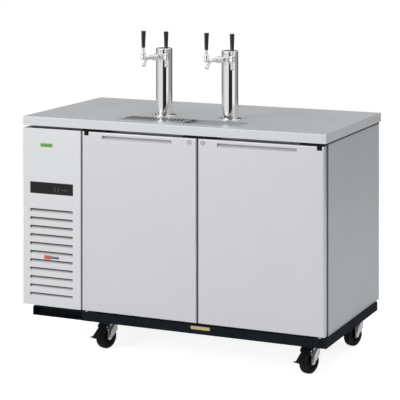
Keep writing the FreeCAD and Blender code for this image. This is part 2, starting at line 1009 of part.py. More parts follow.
def build_door_core(name, left, right, hinge_x, grip, lock_x):
    """Foam core with moulded hinge bores, and room for the grip, the lock and the hinge knob."""
    skin = "door_skin"
    block = box(
        f"{left} + {skin}",
        f"{right} - {skin}",
        skin,
        "door_thick",
        f"door_bottom + {skin}",
        f"door_top - {skin}",
    )
    cup = box(
        f"{grip[0]} - {skin}",
        f"{grip[1]} + {skin}",
        skin,
        f"grip_deep + {skin}",
        f"grip_bottom - {skin}",
        f"grip_top + {skin}",
    )
    lock_room = box(
        f"{lock_x} - cam_room",
        f"{lock_x} + cam_room",
        skin,
        "lock_deep + 2 * cam_thick",
        "lock_z - lock_r - 2",
        f"door_top - {skin}",
    )
    upper = cylinder(hinge_x, "hinge_deep", "hinge_knob_low - pin_reach - 1", "pin_bore_r", "pin_reach + 2")
    lower = cylinder(hinge_x, "hinge_deep", "door_bottom", "pin_bore_r", "low_pin_top + 1 - door_bottom")
    node(f"{name}_core", cut(block, cup, lock_room, notch_tool(hinge_x), upper, lower))


def build_door_liner(name, left, right):
    """Plastic inner panel: a flat edge and a raised dam that fits the door opening."""
    body = new_body(f"{name}_liner")
    plate_back = "door_thick + liner_plate"
    opening = door_opening(left)
    low, high = f"{LINER_LOW} + sheet + dam_gap", f"{LINER_HIGH} - sheet - dam_gap"
    edge = "liner_edge"
    pad(body, "Y", "door_thick", plate_back, door_outline(left, right, edge, edge, edge))
    dam = (f"{opening[0]} + dam_gap", f"{opening[1]} - dam_gap", low, high)
    pad(body, "Y", plate_back, "dam_back", lambda sketch: rectangle(sketch, *dam))
    round_edges(
        body,
        "door_round",
        lambda line: line.BoundBox.YMin > size("dam_back") - 1
        or (runs_along(line, 1) and line.BoundBox.YMax > size("dam_back") - 1),
    )
    hollow = (f"{dam[0]} + sheet", f"{dam[1]} - sheet", f"{low} + sheet", f"{high} - sheet")
    pocket(body, "Y", "door_thick", "dam_back - sheet", lambda sketch: rectangle(sketch, *hollow))


def door_opening(left):
    if left == "door1_left":
        return f"{LINER_LEFT} + sheet", "mullion_left"
    return "mullion_right", f"{LINER_RIGHT} - sheet"


def build_door_gasket(name, left, right, insets):
    """Soft magnetic seal: a closed ring between the door liner and the face frame."""
    body = new_body(f"{name}_gasket")
    start, end = "door_thick + liner_plate", "cab_front - sheet"
    pad(body, "Y", start, end, door_outline(left, right, insets[0], insets[1], "seal_end_inset"))
    inner = [f"{inset} + seal_wide" for inset in (*insets, "seal_end_inset")]
    pocket(body, "Y", start, end, door_outline(left, right, *inner))


def build_door_lock(name, lock_x, side):
    """Lock cylinder with a key slot, and the cam that turns up into the strike."""
    barrel = cylinder(lock_x, "-lock_proud", "lock_z", "lock_r", "lock_proud + lock_deep", "Y")
    slot = box(
        f"{lock_x} - key_wide / 2",
        f"{lock_x} + key_wide / 2",
        "-lock_proud",
        "2 - lock_proud",
        "lock_z - key_long / 2",
        "lock_z + key_long / 2",
    )
    near, far = sorted((0, side), key=abs)
    reach = [f"{lock_x} + ({near}) * cam_reach", f"{lock_x} + ({far}) * cam_reach"]
    if side < 0:
        reach.reverse()
    cam = box(*reach, "lock_deep", "lock_deep + cam_thick", "lock_z - cam_half", "lock_z + cam_half")
    root = cylinder(lock_x, "lock_deep", "lock_z", "cam_half", "cam_thick", "Y")
    node(f"{name}_lock", fuse(cut(barrel, slot), cam, root))


# --------------------------------------------------------------------------- hinges and strike
def hinge_axes():
    return ("door1_left + hinge_inset", "door2_right - hinge_inset")


def build_hinge_brackets():
    """Top plates with their knobs and pins, and bottom angle brackets with their pins."""
    brackets = []
    tops = (("door1_left", "plate1_right"), ("plate2_left", "cab_half"))
    shelves = (("door1_left", "shelf1_right"), ("shelf2_left", "cab_half"))
    faces = (("door1_left", "shelf1_right"), ("shelf2_left", "face2_right"))
    low_z = "cab_bottom"
    for axis_x, (left, right), shelf_ends, face_ends in zip(hinge_axes(), tops, shelves, faces):
        plate = box(left, right, "plate_front", "plate_back", "plate_low", "plate_high")
        knob = cylinder(axis_x, "hinge_deep", "hinge_knob_low", "hinge_knob_r", "plate_low - hinge_knob_low")
        pin = cylinder(axis_x, "hinge_deep", "hinge_knob_low - pin_reach", "hinge_pin_r", "pin_reach")
        brackets.append(fuse(plate, knob, pin))
        shelf = box(*shelf_ends, 0, "shelf_back", low_z, f"{low_z} + shelf_thick")
        face = box(*face_ends, 0, "frame_front", "frame_low", low_z)
        washer_z = f"{low_z} + shelf_thick"
        washer = cylinder(axis_x, "hinge_deep", washer_z, "washer_r", "washer_high")
        low_pin = cylinder(axis_x, "hinge_deep", washer_z, "hinge_pin_r", f"low_pin_top - ({washer_z})")
        brackets.append(fuse(shelf, face, washer, low_pin))
    node("hinge_brackets", group(*brackets))


def build_lock_strike():
    """Plate under the worktop with one slot for each lock's cam."""
    plate = box("strike_left", "strike_right", "plate_front", "plate_back", "plate_low", "plate_high")
    slots = [
        box(
            f"{x} - cam_slot_half",
            f"{x} + cam_slot_half",
            "lock_deep - cam_thick",
            "lock_deep + 2 * cam_thick",
            "plate_low",
            "plate_high",
        )
        for x in ("lock1_x", "lock2_x")
    ]
    node("lock_strike", cut(plate, *slots))


# --------------------------------------------------------------------------- grille and display
def build_grille_panel():
    """Front cover of the machine room: a shallow pan with bent-in louvres and a display window."""
    body = new_body("grille_panel")
    low, high = "door_bottom", "door_top"
    pad(
        body,
        "Y",
        0,
        "grille_back",
        lambda sketch: rectangle(sketch, "grille_left", "grille_right", low, high),
    )
    round_edges(body, "sheet", lambda edge: edge.BoundBox.YMax < 0.1)
    for start, end, margin in (
        ("sheet", "grille_back - sheet", "sheet"),
        ("grille_back - sheet", "grille_back", "grille_lip"),
    ):
        pocket(
            body,
            "Y",
            start,
            end,
            lambda sketch: rectangle(
                sketch,
                f"grille_left + {margin}",
                f"grille_right - {margin}",
                f"{low} + {margin}",
                f"{high} - {margin}",
            ),
        )
    pocket(
        body,
        "Y",
        0,
        "sheet",
        lambda sketch: rectangle(
            sketch, "display_left", "display_right", "display_low", "display_high"
        ),
    )
    bottom, slit = "louvre_first - louvre_high", "louvre_first - louvre_slit"
    window = pocket(
        body,
        "Y",
        0,
        "sheet",
        lambda sketch: rectangle(sketch, "louvre_left", "louvre_right", bottom, "louvre_first"),
    )
    pattern(body, [window], "Z_Axis", "louvre_pitch * (louvre_count - 1)", "louvre_count")
    slat = pad(
        body,
        "X",
        "louvre_left",
        "louvre_right",
        lambda sketch: polygon(
            sketch,
            [(0, bottom), ("sheet", f"{bottom} - 1"), ("louvre_deep", slit), ("louvre_deep - sheet", slit)],
        ),
    )
    pattern(body, [slat], "Z_Axis", "louvre_pitch * (louvre_count - 1)", "louvre_count")


def build_control_display():
    """Flush temperature display."""
    body = new_body("control_display")
    pad(
        body,
        "Y",
        "display_inset",
        "display_deep",
        lambda sketch: rectangle(
            sketch, "display_left", "display_right", "display_low", "display_high"
        ),
    )


# --------------------------------------------------------------------------- base
def build_base_frame():
    """Welded channel frame under the cabinet, with a closed corner block at the front right."""
    wall = "frame_wall"
    low, high = "frame_low", "cab_bottom"
    inner_low, inner_high = f"{low} + {wall}", f"{high} - {wall}"
    front_back = "frame_front + rail"
    front = cut(
        box("frame_end", "frame_right", "frame_front", front_back, low, high),
        box(
            f"frame_end + {wall}",
            "frame_corner",
            "frame_front",
            f"{front_back} - {wall}",
            inner_low,
            inner_high,
        ),
    )
    back = cut(
        box("rail_left", "frame_right", "frame_back - rail", "frame_back", low, high),
        box(
            "rail_left",
            "frame_right",
            f"frame_back - rail + {wall}",
            f"frame_back - {wall}",
            inner_low,
            inner_high,
        ),
    )
    right = cut(
        box("frame_right - right_rail", "frame_right", front_back, "frame_back", low, high),
        box(
            "frame_right - right_rail",
            f"frame_right - {wall}",
            front_back,
            f"frame_back - {wall}",
            inner_low,
            inner_high,
        ),
    )
    left = cut(
        box("rail_left", "rail_left + rail", front_back, "frame_back", low, high),
        box(
            f"rail_left + {wall}",
            "rail_left + rail",
            front_back,
            f"frame_back - {wall}",
            inner_low,
            inner_high,
        ),
    )
    node("base_frame", fuse(front, back, right, left))


def build_kick_plate():
    """Flat plate that closes the front channel between the two bottom hinge brackets."""
    body = new_body("kick_plate")
    pad(
        body,
        "Y",
        0,
        "frame_front",
        lambda sketch: rectangle(sketch, "kick_left", "kick_right", "frame_low", "cab_bottom"),
    )


def build_badge_plate():
    """Small plain plate with rounded corners on the kick plate."""
    body = new_body("badge_plate")
    pad(
        body,
        "Y",
        "-badge_thick",
        0,
        lambda sketch: rectangle(sketch, "badge_left", "badge_right", "badge_low", "badge_high"),
    )
    round_edges(body, "badge_round", lambda edge: runs_along(edge, 1))


# --------------------------------------------------------------------------- towers and taps
def flange_screws():
    """Centres of the three screws of each tower flange, in the worktop's frame."""
    return [
        (f"{x} + flange_screw_circle * cos({angle})", f"tower_y + flange_screw_circle * sin({angle})")
        for x in tower_positions()
        for angle in (90, 210, 330)
    ]


def screw_bore(x, y, z, length):
    return cylinder(x, y, z, "flange_screw_r", length)


def build_tower(label, x, turns):
    """Polished column with a foot flange and a rounded cap, open at the bottom."""
    body = new_body(f"{label}_body", y=0)
    nodes.remove(body)
    inner = "tower_r - tower_wall"
    profile = [
        (inner, "top_z"),
        ("flange_r", "top_z"),
        ("flange_r", "top_z + flange_thick - flange_slope"),
        ("flange_r - flange_slope", "top_z + flange_thick"),
        ("tower_r", "top_z + flange_thick"),
        ("tower_r", "tower_top"),
        (0, "tower_top"),
        (0, "tower_top - 2 * tower_wall"),
        (inner, "tower_top - 2 * tower_wall"),
    ]
    revolve(body, "XZ_Plane", profile, "V_Axis")
    round_edges(
        body,
        "tower_round",
        lambda edge: edge.BoundBox.ZMin > size("tower_top") - 0.1 and edge.BoundBox.DiagonalLength > 1,
    )
    tools = [
        turned(
            cylinder(0, "-tower_r - 2", "shank_z", "shank_r", "2 * tower_wall + 4", "Y"), about_z(size(turn))
        )
        for turn in turns
    ]
    tools += [
        cylinder(
            f"flange_screw_circle * cos({angle})",
            f"flange_screw_circle * sin({angle})",
            "top_z",
            "flange_screw_r",
            "flange_thick",
        )
        for angle in (90, 210, 330)
    ]
    node(label, cut(body, *tools), x, "front_y + tower_y")


def tap_places():
    """The tower axis and the turn about it of each of the four taps, from left to right."""
    return [(x, size(turn)) for _, x, turns in TOWERS for turn in turns]


def ring(radius, bore, near, far):
    """A ring about the shank's axis; near and far are distances from the tower's axis."""
    outside = cylinder(0, f"-({far})", "shank_z", radius, f"({far}) - ({near})", "Y")
    return cut(outside, cylinder(0, f"-({far})", "shank_z", bore, f"({far}) - ({near})", "Y"))


def build_faucet_shanks():
    """Threaded tubes through the tower walls with their collars, lock nuts and coupling nuts."""
    fittings = []
    for x, turn in tap_places():
        pipe = cylinder(0, "-shank_out", "shank_z", "shank_r", "shank_out - shank_in", "Y")
        collar = cut(
            cylinder(0, "-collar_out", "shank_z", "collar_r", "collar_out - collar_in", "Y"),
            cylinder(0, 0, "shank_z - 2 * collar_r", "tower_r", "4 * collar_r"),
        )
        bore = cylinder(0, "-shank_out", "shank_z", "shank_bore_r", "shank_out - shank_in", "Y")
        shank = cut(fuse(pipe, collar), bore)
        lock_nut = ring("lock_nut_r", "shank_r", "lock_nut_in", "lock_nut_out")
        coupling = cut(
            ring("coupling_r", "shank_r", "coupling_in", "coupling_out"),
            cylinder(0, "-coupling_out", "shank_z", "barrel_r", "coupling_out - shank_out", "Y"),
        )
        pieces = (shank, lock_nut, coupling)
        fittings += [turned(piece, about_z(turn), x, "tower_y") for piece in pieces]
    node("faucet_shanks", group(*fittings))


def spout_rod(radius):
    """A straight rod that slants down from the barrel, away from the tower."""
    rod = cylinder(0, 0, "-spout_long", radius, "spout_long")
    lean = FreeCAD.Rotation(FreeCAD.Vector(1, 0, 0), -size("spout_lean"))
    return turned(rod, lean, 0, "-spout_start", "shank_z")


def build_faucet_bodies():
    """Tap bodies: a level barrel, a lever socket at its end and a slanting spout below."""
    bodies = []
    for x, turn in tap_places():
        barrel = cylinder(0, "-chamber_out", "shank_z", "barrel_r", "chamber_out - shank_out", "Y")
        chamber = cylinder(0, "-chamber_out", "chamber_low", "chamber_r", "chamber_top - chamber_low")
        end = ball(0, "-chamber_out", "chamber_low", "chamber_r")
        socket = cylinder(0, "-chamber_out", "socket_low", "socket_r", "chamber_top - socket_low")
        outside = fuse(barrel, chamber, end, spout_rod("spout_r"))
        solid = cut(outside, socket, spout_rod("spout_bore_r"))
        bodies.append(turned(solid, about_z(turn), x, "tower_y"))
    node("faucet_bodies", group(*bodies))


def build_tap_handle(label, x, turn):
    """Lever with its ball and ferrule, and the tapered grip screwed on top of it."""
    pivot = "lever_pivot_z"
    lever = fuse(
        ball(0, 0, 0, "lever_ball_r"),
        cylinder(0, 0, 0, "lever_stem_r", f"ferrule_low - {pivot}"),
        cone(0, 0, f"ferrule_low - {pivot}", "ferrule_r1", "ferrule_r2", "ferrule_high - ferrule_low"),
    )
    handle = cone(0, 0, f"ferrule_high - {pivot}", "handle_r1", "handle_r2", "handle_top - ferrule_high")
    lean = FreeCAD.Rotation(FreeCAD.Vector(1, 0, 0), -size("lever_lean"))
    angle = math.radians(turn)
    node(
        label,
        group(lever, handle),
        f"{x} + chamber_out * {math.sin(angle):.9f}",
        f"front_y + tower_y - chamber_out * {math.cos(angle):.9f}",
        pivot,
        about_z(turn) * lean,
    )


def build_beer_lines():
    """Four tubes from the shanks, down the towers, along the roof and down the back wall."""
    lines = []
    radius, run_z = size("line_r"), size("line_run_z")
    back, end = size("line_back"), size("line_end")
    for index, (tower, turn) in enumerate(tap_places()):
        outward = FreeCAD.Vector(math.sin(math.radians(turn)), -math.cos(math.radians(turn)), 0)
        axis = FreeCAD.Vector(size(tower), size("tower_y"), 0)
        start = axis + outward * size("shank_in")
        inside = axis + outward * (size("shank_in") / 2)
        drop_x = inside.x + math.copysign(size("line_spread"), turn)
        points = [
            (start.x, start.y, size("shank_z")),
            (inside.x, inside.y, size("shank_z")),
            (inside.x, inside.y, run_z),
            (drop_x, back, run_z),
            (drop_x, back, end),
        ]
        line = tube(points, 2.5 * radius, radius)
        tail = Part.makeCylinder(
            size("tail_r"), size("tail_long"), FreeCAD.Vector(drop_x, back, end - size("tail_long"))
        )
        lines.append(line.fuse(tail))
    shape_node("beer_lines", Part.makeCompound(lines))


def build_gas_port():
    """Sleeve through the back wall that the gas hose passes through."""
    start = f"{LINER_BACK} - sheet - gas_lip"
    sleeve = cylinder("gas_x", start, "gas_z", "gas_r", f"cab_back - ({start})", "Y")
    bore = cylinder("gas_x", start, "gas_z", "gas_bore_r", f"cab_back - ({start})", "Y")
    node("gas_port", cut(sleeve, bore))


def build_gas_manifold():
    """Gas distribution bar on the back wall, with one outlet for each keg line and an inlet."""
    wall = f"{LINER_BACK} - sheet"
    bar = box("bar_left", "bar_right", f"{wall} - bar_size", wall, "bar_low", "bar_low + bar_size")
    pitch = "(bar_right - bar_left) / bar_outlets"
    outlets = [
        cylinder(
            f"bar_left + ({index} + 0.5) * {pitch}",
            f"{wall} - bar_size / 2",
            "bar_low - outlet_long",
            "outlet_r",
            "outlet_long",
        )
        for index in range(int(size("bar_outlets")))
    ]
    inlet = cylinder(
        "bar_right", f"{wall} - bar_size / 2", "bar_low + bar_size / 2", "outlet_r", "outlet_long", "X"
    )
    node("gas_manifold", fuse(bar, *outlets, inlet))


# --------------------------------------------------------------------------- refrigeration
def build_condenser_coil():
    """Finned coil behind the grille: thin upright fins on level tubes."""
    body = new_body("condenser_coil")
    fin = pad(
        body,
        "X",
        "coil_left",
        "coil_left + fin_thick",
        lambda sketch: rectangle(sketch, "coil_front", "coil_back", "coil_low", "coil_high"),
    )
    pattern(
        body,
        [fin],
        "X_Axis",
        "coil_right - coil_left - fin_thick",
        "round((coil_right - coil_left) / fin_pitch) + 1",
    )
    middle = "(coil_front + coil_back) / 2"
    pipe = pad(
        body,
        "X",
        "coil_left",
        "coil_right",
        lambda sketch: circle(sketch, middle, "coil_low + tube_pitch / 2", "tube_r"),
    )
    count = "floor((coil_high - coil_low) / tube_pitch)"
    pattern(body, [pipe], "Z_Axis", f"tube_pitch * ({count} - 1)", count)


def build_condenser_shroud():
    """Plate with a round mouth that guides the fan's air through the coil."""
    plate = cut(
        box("coil_left", "coil_right", "coil_back", "shroud_back", "coil_low", "coil_high"),
        box(
            "coil_left + sheet",
            "coil_right - sheet",
            "coil_back",
            "shroud_back - sheet",
            "coil_low + sheet",
            "coil_high - sheet",
        ),
        cylinder("fan_x", "shroud_back - sheet", "fan_z", "shroud_mouth_r", "sheet", "Y"),
    )
    node("condenser_shroud", plate)


def fan_blade(reach, index):
    """One flat blade from inside the hub to the fan's rim, pitched about its own length."""
    blade = doc.addObject("Part::Box", "Blade")
    bind(blade, Length=f"({reach}) - hub_r + 4", Width="blade_wide", Height="blade_thick")
    place(blade, "hub_r - 4", "-blade_wide / 2", "-blade_thick / 2")
    pitched = turned(blade, FreeCAD.Rotation(FreeCAD.Vector(1, 0, 0), size("blade_pitch")))
    return turned(pitched, about_z(360 * index / size("blade_count")))


def build_fan(label, reach, x, y, z, turn):
    """Fan wheel about its own Z axis: a bored hub, and blades trimmed to the rim."""
    wheel = fuse(
        cylinder(0, 0, "-hub_long / 2", "hub_r", "hub_long"),
        *[fan_blade(reach, index) for index in range(int(size("blade_count")))],
    )
    trimmed = doc.addObject("Part::Common", "Trimmed")
    trimmed.Base = wheel
    trimmed.Tool = cylinder(0, 0, "-hub_long", reach, "2 * hub_long")
    bore = cylinder(0, 0, "-hub_long / 2", "shaft_bore_r", "hub_long")
    node(label, cut(trimmed, bore), x, y, z, turn)


def build_condenser_motor():
    """Fan motor on a bar across the back of the shroud, with its shaft in the fan's hub."""
    can = cylinder("fan_x", "motor_y", "fan_z", "motor_r", "motor_long", "Y")
    shaft_start = "fan_y - hub_long / 2"
    shaft = cylinder("fan_x", shaft_start, "fan_z", "shaft_r", f"motor_y - ({shaft_start})", "Y")
    ends = ("coil_left + arm_inset", "coil_right - arm_inset")
    back, low, high = "motor_y + arm_thick", "fan_z - arm_half", "fan_z + arm_half"
    arm = box(*ends, "motor_y", back, low, high)
    feet = [
        box(f"{x} - arm_foot_half", f"{x} + arm_foot_half", "shroud_back", back, low, high) for x in ends
    ]
    node("condenser_motor", fuse(can, shaft, arm, *feet))


def build_compressor():
    """Hermetic compressor: a domed can on a foot plate, on four rubber feet."""
    body = new_body("compressor_can", y=0)
    nodes.remove(body)
    radius, low, high = "compressor_r", "compressor_low", "compressor_high"
    slope = f"{radius} / 3"
    profile = [
        (0, low),
        (f"{radius} - {slope}", low),
        (radius, f"{low} + {slope}"),
        (radius, f"{high} - {slope}"),
        (f"{radius} - {slope}", high),
        (0, high),
    ]
    revolve(body, "XZ_Plane", profile, "V_Axis")
    widest = size(radius) - 1
    round_edges(body, "compressor_round", lambda edge: edge.BoundBox.XMax > widest)
    plate_low = f"{ROOM_LOW} + foot_high"
    half = "foot_plate / 2"
    plate = box(f"-{half}", half, f"-{half}", half, plate_low, low)
    feet = [
        cylinder(
            f"{sx} * ({half} - foot_inset)", f"{sy} * ({half} - foot_inset)", ROOM_LOW, "foot_r", "foot_high"
        )
        for sx in (-1, 1)
        for sy in (-1, 1)
    ]
    node("compressor", fuse(body, plate, *feet), "compressor_x", "front_y + compressor_y")


EVAP_LEFT = f"{LINER_LEFT} + sheet"


def build_evaporator_cover():
    """Open-backed housing on the liner's left wall, with a fan mouth and an intake slot."""
    right = f"{EVAP_LEFT} + evap_deep"
    shell = cut(
        box(EVAP_LEFT, right, "evap_front", "evap_back", "evap_low", "evap_high"),
        box(
            EVAP_LEFT,
            f"{right} - sheet",
            "evap_front + sheet",
            "evap_back - sheet",
            "evap_low + sheet",
            "evap_high - sheet",
        ),
        cylinder(f"{right} - sheet", "evap_fan_y", "evap_fan_z", "evap_mouth_r", "sheet", "X"),
        box(
            f"{right} - sheet",
            right,
            "evap_front + intake_inset",
            "evap_back - intake_inset",
            "evap_low + intake_low",
            "evap_low + intake_high",
        ),
    )
    node("evaporator_cover", shell)


def build_evaporator_coil():
    """Finned coil inside the evaporator housing."""
    body = new_body("evaporator_coil")
    left = EVAP_LEFT
    low, high = "evap_low + evap_coil_low", "evap_low + evap_coil_high"
    start, length = "evap_front + evap_coil_inset", "evap_back - evap_front - 2 * evap_coil_inset"
    fin = pad(
        body,
        "Y",
        start,
        f"{start} + fin_thick",
        lambda sketch: rectangle(sketch, left, f"{left} + evap_coil_deep", low, high),
    )
    pattern(body, [fin], "Y_Axis", f"{length} - fin_thick", f"round(({length}) / fin_pitch) + 1")
    pipe = pad(
        body,
        "Y",
        start,
        f"{start} + {length}",
        lambda sketch: circle(sketch, f"{left} + evap_coil_deep / 2", f"{low} + evap_tube_low", "tube_r"),
    )
    pattern(body, [pipe], "Z_Axis", "tube_pitch * (evap_tubes - 1)", "evap_tubes")


def build_evaporator_motor():
    """Fan motor on a bar fixed between the housing's end walls."""
    start = f"{EVAP_LEFT} + evap_motor_in"
    end = f"{start} + evap_motor_long"
    can = cylinder(start, "evap_fan_y", "evap_fan_z", "evap_motor_r", "evap_motor_long", "X")
    shaft = cylinder(end, "evap_fan_y", "evap_fan_z", "shaft_r", "evap_shaft_long", "X")
    bar = box(
        start,
        f"{start} + evap_bar_thick",
        "evap_front + sheet",
        "evap_back - sheet",
        "evap_fan_z - evap_bar_half",
        "evap_fan_z + evap_bar_half",
    )
    node("evaporator_motor", fuse(can, shaft, bar))


def build_rear_grille():
    """Vented back cover of the machine room."""
    body = new_body("rear_grille")
    left, right = "sheet - cab_half", "room_left - sheet"
    pad(
        body,
        "Y",
        "rear_y",
        "rear_y + sheet",
        lambda sketch: rectangle(sketch, left, right, "rear_low", "rear_high"),
    )
    middle = f"({left} + {right}) / 2"
    slot = pocket(
        body,
        "Y",
        "rear_y",
        "rear_y + sheet",
        lambda sketch: rectangle(
            sketch,
            f"{middle} - rear_slot_wide / 2",
            f"{middle} + rear_slot_wide / 2",
            "rear_slot_low",
            "rear_slot_low + rear_slot_high",
        ),
    )
    pattern(body, [slot], "Z_Axis", "rear_slot_pitch * (rear_slot_count - 1)", "rear_slot_count")


def build_power_cord():
    """Supply cord hung in the recess behind the machine room, ending in its plug."""
    radius, back = size("cord_r"), size("rear_y") + size("sheet")
    hang, low, high = back + size("cord_hang"), size("cord_low"), size("cord_high")
    start, turn, end = size("cord_start_x"), size("cord_turn_x"), size("cord_end_x")
    points = [
        (start, back, size("cord_start_z")),
        (start, hang, size("cord_start_z")),
        (start, hang, low),
        (turn, hang, low),
        (turn, hang, high),
        (end, hang, high),
        (end, hang, size("plug_top")),
    ]
    cord = tube(points, 5 * radius, radius)
    wide, deep, tall = size("plug_wide"), size("plug_deep"), size("plug_high")
    plug_low = size("plug_top") - tall
    plug = Part.makeBox(wide, deep, tall, FreeCAD.Vector(end - wide / 2, hang - deep / 2, plug_low))
    prong = (size("prong_thick"), size("prong_wide"), size("prong_long"))
    prongs = [
        Part.makeBox(*prong, FreeCAD.Vector(x, hang - prong[1] / 2, plug_low - prong[2]))
        for x in (end - size("prong_gap") / 2 - prong[0], end + size("prong_gap") / 2)
    ]
    shape_node("power_cord", cord.fuse([plug, *prongs]))


# --------------------------------------------------------------------------- casters
def caster_places():
    """Swivel axes as (x, y), front left, front right, rear left, rear right."""
    return [
        ("caster_left", "caster_front"),
        ("caster_right", "caster_front"),
        ("caster_left", "caster_rear"),
        ("caster_rear_right", "caster_rear"),
    ]


def build_caster_mounts():
    """Bolt plates with the swivel bearing under each, fixed to the base frame."""
    mounts = []
    for x, y in caster_places():
        plate = box(
            f"{x} - mount_half",
            f"{x} + mount_half",
            f"{y} - mount_half",
            f"{y} + mount_half",
            "mount_low",
            "frame_low",
        )
        race = cylinder(x, y, "race_low", "race_r", "mount_low - race_low")
        bore = cylinder(x, y, "race_low", "kingpin_bore_r", "frame_low - race_low")
        mounts.append(cut(fuse(plate, race), bore))
    node("caster_mounts", group(*mounts))


def side_plates(near, far, outline):
    """A plate on each side of the wheel, between two distances from its middle."""
    plates = []
    for low, high in ((near, far), (f"-({far})", f"-({near})")):
        body = doc.addObject("PartDesign::Body", "Body")
        pad(body, "X", low, high, lambda sketch: polygon(sketch, outline))
        plates.append(body)
    return plates


def fork_legs():
    """The fork's two legs with the pressed rib on each: upright in front, tapering to the axle."""
    front, foot = "-trail - leg_foot", "wheel_r - leg_foot"
    outline = [
        ("leg_rear", "fork_top"),
        ("-head_r", "fork_top"),
        ("-head_r", "fork_plate_z"),
        (front, "fork_plate_z - 2 * rib_edge"),
        (front, foot),
        ("leg_foot - trail", foot),
        ("leg_rear", "leg_knee_z"),
    ]
    rib = [
        ("-trail", "fork_plate_z - rib_edge"),
        (f"{front} + rib_edge", "fork_plate_z - 3 * rib_edge"),
        (f"{front} + rib_edge", "wheel_r + axle_head_r + rib_edge"),
        ("leg_foot - trail", "wheel_r + axle_head_r + rib_edge"),
        ("leg_rear - 4 * rib_edge", "fork_plate_z - rib_edge"),
    ]
    outside = "leg_in + leg_thick"
    return side_plates("leg_in", outside, outline) + side_plates(outside, f"{outside} + rib_high", rib)


def brake_ears():
    """Forward extensions of the legs that hold the brake's pin."""
    pivot_y, pivot_z = "pedal_pivot_y", "pedal_pivot_z"
    outline = [
        ("-trail - leg_foot", f"{pivot_z} + pedal_hub_r"),
        (f"{pivot_y} + 2", f"{pivot_z} + pedal_hub_r"),
        (f"{pivot_y} - 4", f"{pivot_z} + 1"),
        (f"{pivot_y} - 4", f"{pivot_z} - pedal_hub_r"),
        ("-trail - leg_foot", f"{pivot_z} - 3 * pedal_hub_r"),
    ]
    return side_plates("leg_in", "leg_in + leg_thick", outline)


def build_caster_fork(label, x, y, has_brake):
    """Swivel fork with its kingpin, and the axle bolt through its legs."""
    wide = "leg_in + leg_thick"
    crown = box(f"-({wide})", wide, "-head_r", "head_r", "fork_plate_z", "fork_top")
    kingpin = cylinder(0, 0, "fork_top", "kingpin_r", "kingpin_top - fork_top")
    pieces = [crown, kingpin, *fork_legs()]
    if has_brake:
        pin_y, pin_z = "pedal_pivot_y", "pedal_pivot_z"
        pin = cylinder("-cover_half", pin_y, pin_z, "pedal_pin_r", "2 * cover_half", "X")
        pieces += [*brake_ears(), pin]
    axle_hole = cylinder(f"-({wide})", "-trail", "wheel_r", "axle_r", f"2 * ({wide})", "X")
    fork = cut(fuse(*pieces), axle_hole)
    axle = fuse(
        cylinder(f"-({wide})", "-trail", "wheel_r", "axle_r", f"2 * ({wide})", "X"),
        cylinder(f"-({wide}) - axle_head", "-trail", "wheel_r", "axle_head_r", "axle_head", "X"),
        cylinder(wide, "-trail", "wheel_r", "axle_head_r", "axle_head", "X"),
    )
    node(label, group(fork, axle), x, f"front_y + {y}", 0, about_z(size("caster_turn")))


def build_caster_wheel(label, x, y):
    """Wheel with a rounded tread, a thinner web and a hub bored for the axle."""
    half, web = "wheel_half", "web_half"
    profile = [
        (f"-{half}", "wheel_r - tread_round"),
        (f"tread_round - {half}", "wheel_r"),
        (f"{half} - tread_round", "wheel_r"),
        (half, "wheel_r - tread_round"),
        (half, "web_r"),
        (web, "web_r - 2"),
        (web, "hub_boss_r"),
        ("wheel_half + 2", "hub_boss_r - 2"),
        ("wheel_half + 2", "axle_bore_r"),
        ("-wheel_half - 2", "axle_bore_r"),
        ("-wheel_half - 2", "hub_boss_r - 2"),
        (f"-{web}", "hub_boss_r"),
        (f"-{web}", "web_r - 2"),
        (f"-{half}", "web_r"),
    ]
    angle = math.radians(size("caster_turn"))
    body = new_body(
        label,
        f"{x} + trail * {math.sin(angle):.9f}",
        f"front_y + {y} - trail * {math.cos(angle):.9f}",
        "wheel_r",
    )
    body.Placement.Rotation = about_z(size("caster_turn"))
    revolve(body, "XY_Plane", profile, "H_Axis")


def build_caster_brake(label, x, y):
    """Brake pedal: a cover that straddles the fork's ears on their pin, an arm and a wide tip."""
    thick, pivot_y, pivot_z = "pedal_thick", "pedal_pivot_y", "pedal_pivot_z"
    top = f"{pivot_z} + cover_rise"
    nose_y, nose_z = f"{pivot_y} - cover_nose", f"{pivot_z} - pedal_hub_r"
    cover = doc.addObject("PartDesign::Body", "Body")
    roof = [
        ("cover_back", top),
        (pivot_y, top),
        (nose_y, f"{nose_z} + {thick}"),
        (nose_y, nose_z),
        (f"{pivot_y} + 1", f"{top} - {thick}"),
        ("cover_back", f"{top} - {thick}"),
    ]
    pad(cover, "X", "-cover_half", "cover_half", lambda sketch: polygon(sketch, roof))
    cheek = [
        ("cover_back", top),
        (pivot_y, top),
        (nose_y, f"{nose_z} + {thick}"),
        (nose_y, nose_z),
        (f"{pivot_y} - pedal_hub_r", f"{nose_z} - {thick}"),
        (f"{pivot_y} + pedal_hub_r", f"{nose_z} - {thick}"),
        ("cover_back", f"{pivot_z} + 1"),
    ]
    arm = doc.addObject("PartDesign::Body", "Body")
    slope = [
        (nose_y, f"{nose_z} + {thick}"),
        (nose_y, nose_z),
        ("pedal_tip_y", "pedal_tip_z"),
        ("pedal_tip_y", f"pedal_tip_z + {thick}"),
    ]
    pad(arm, "X", "-pedal_half", "pedal_half", lambda sketch: polygon(sketch, slope))
    tip = box(
        "-pedal_tip_half",
        "pedal_tip_half",
        f"pedal_tip_y - {thick}",
        f"pedal_tip_y + {thick}",
        "pedal_tip_z",
        f"pedal_tip_z + {thick}",
    )
    bore = cylinder("-cover_half", pivot_y, pivot_z, "pedal_bore_r", "2 * cover_half", "X")
    cheeks = side_plates("leg_in + leg_thick + rib_high", "cover_half", cheek)
    solid = cut(fuse(cover, arm, tip, *cheeks), bore)
    node(label, solid, x, f"front_y + {y}", 0, about_z(size("caster_turn")))


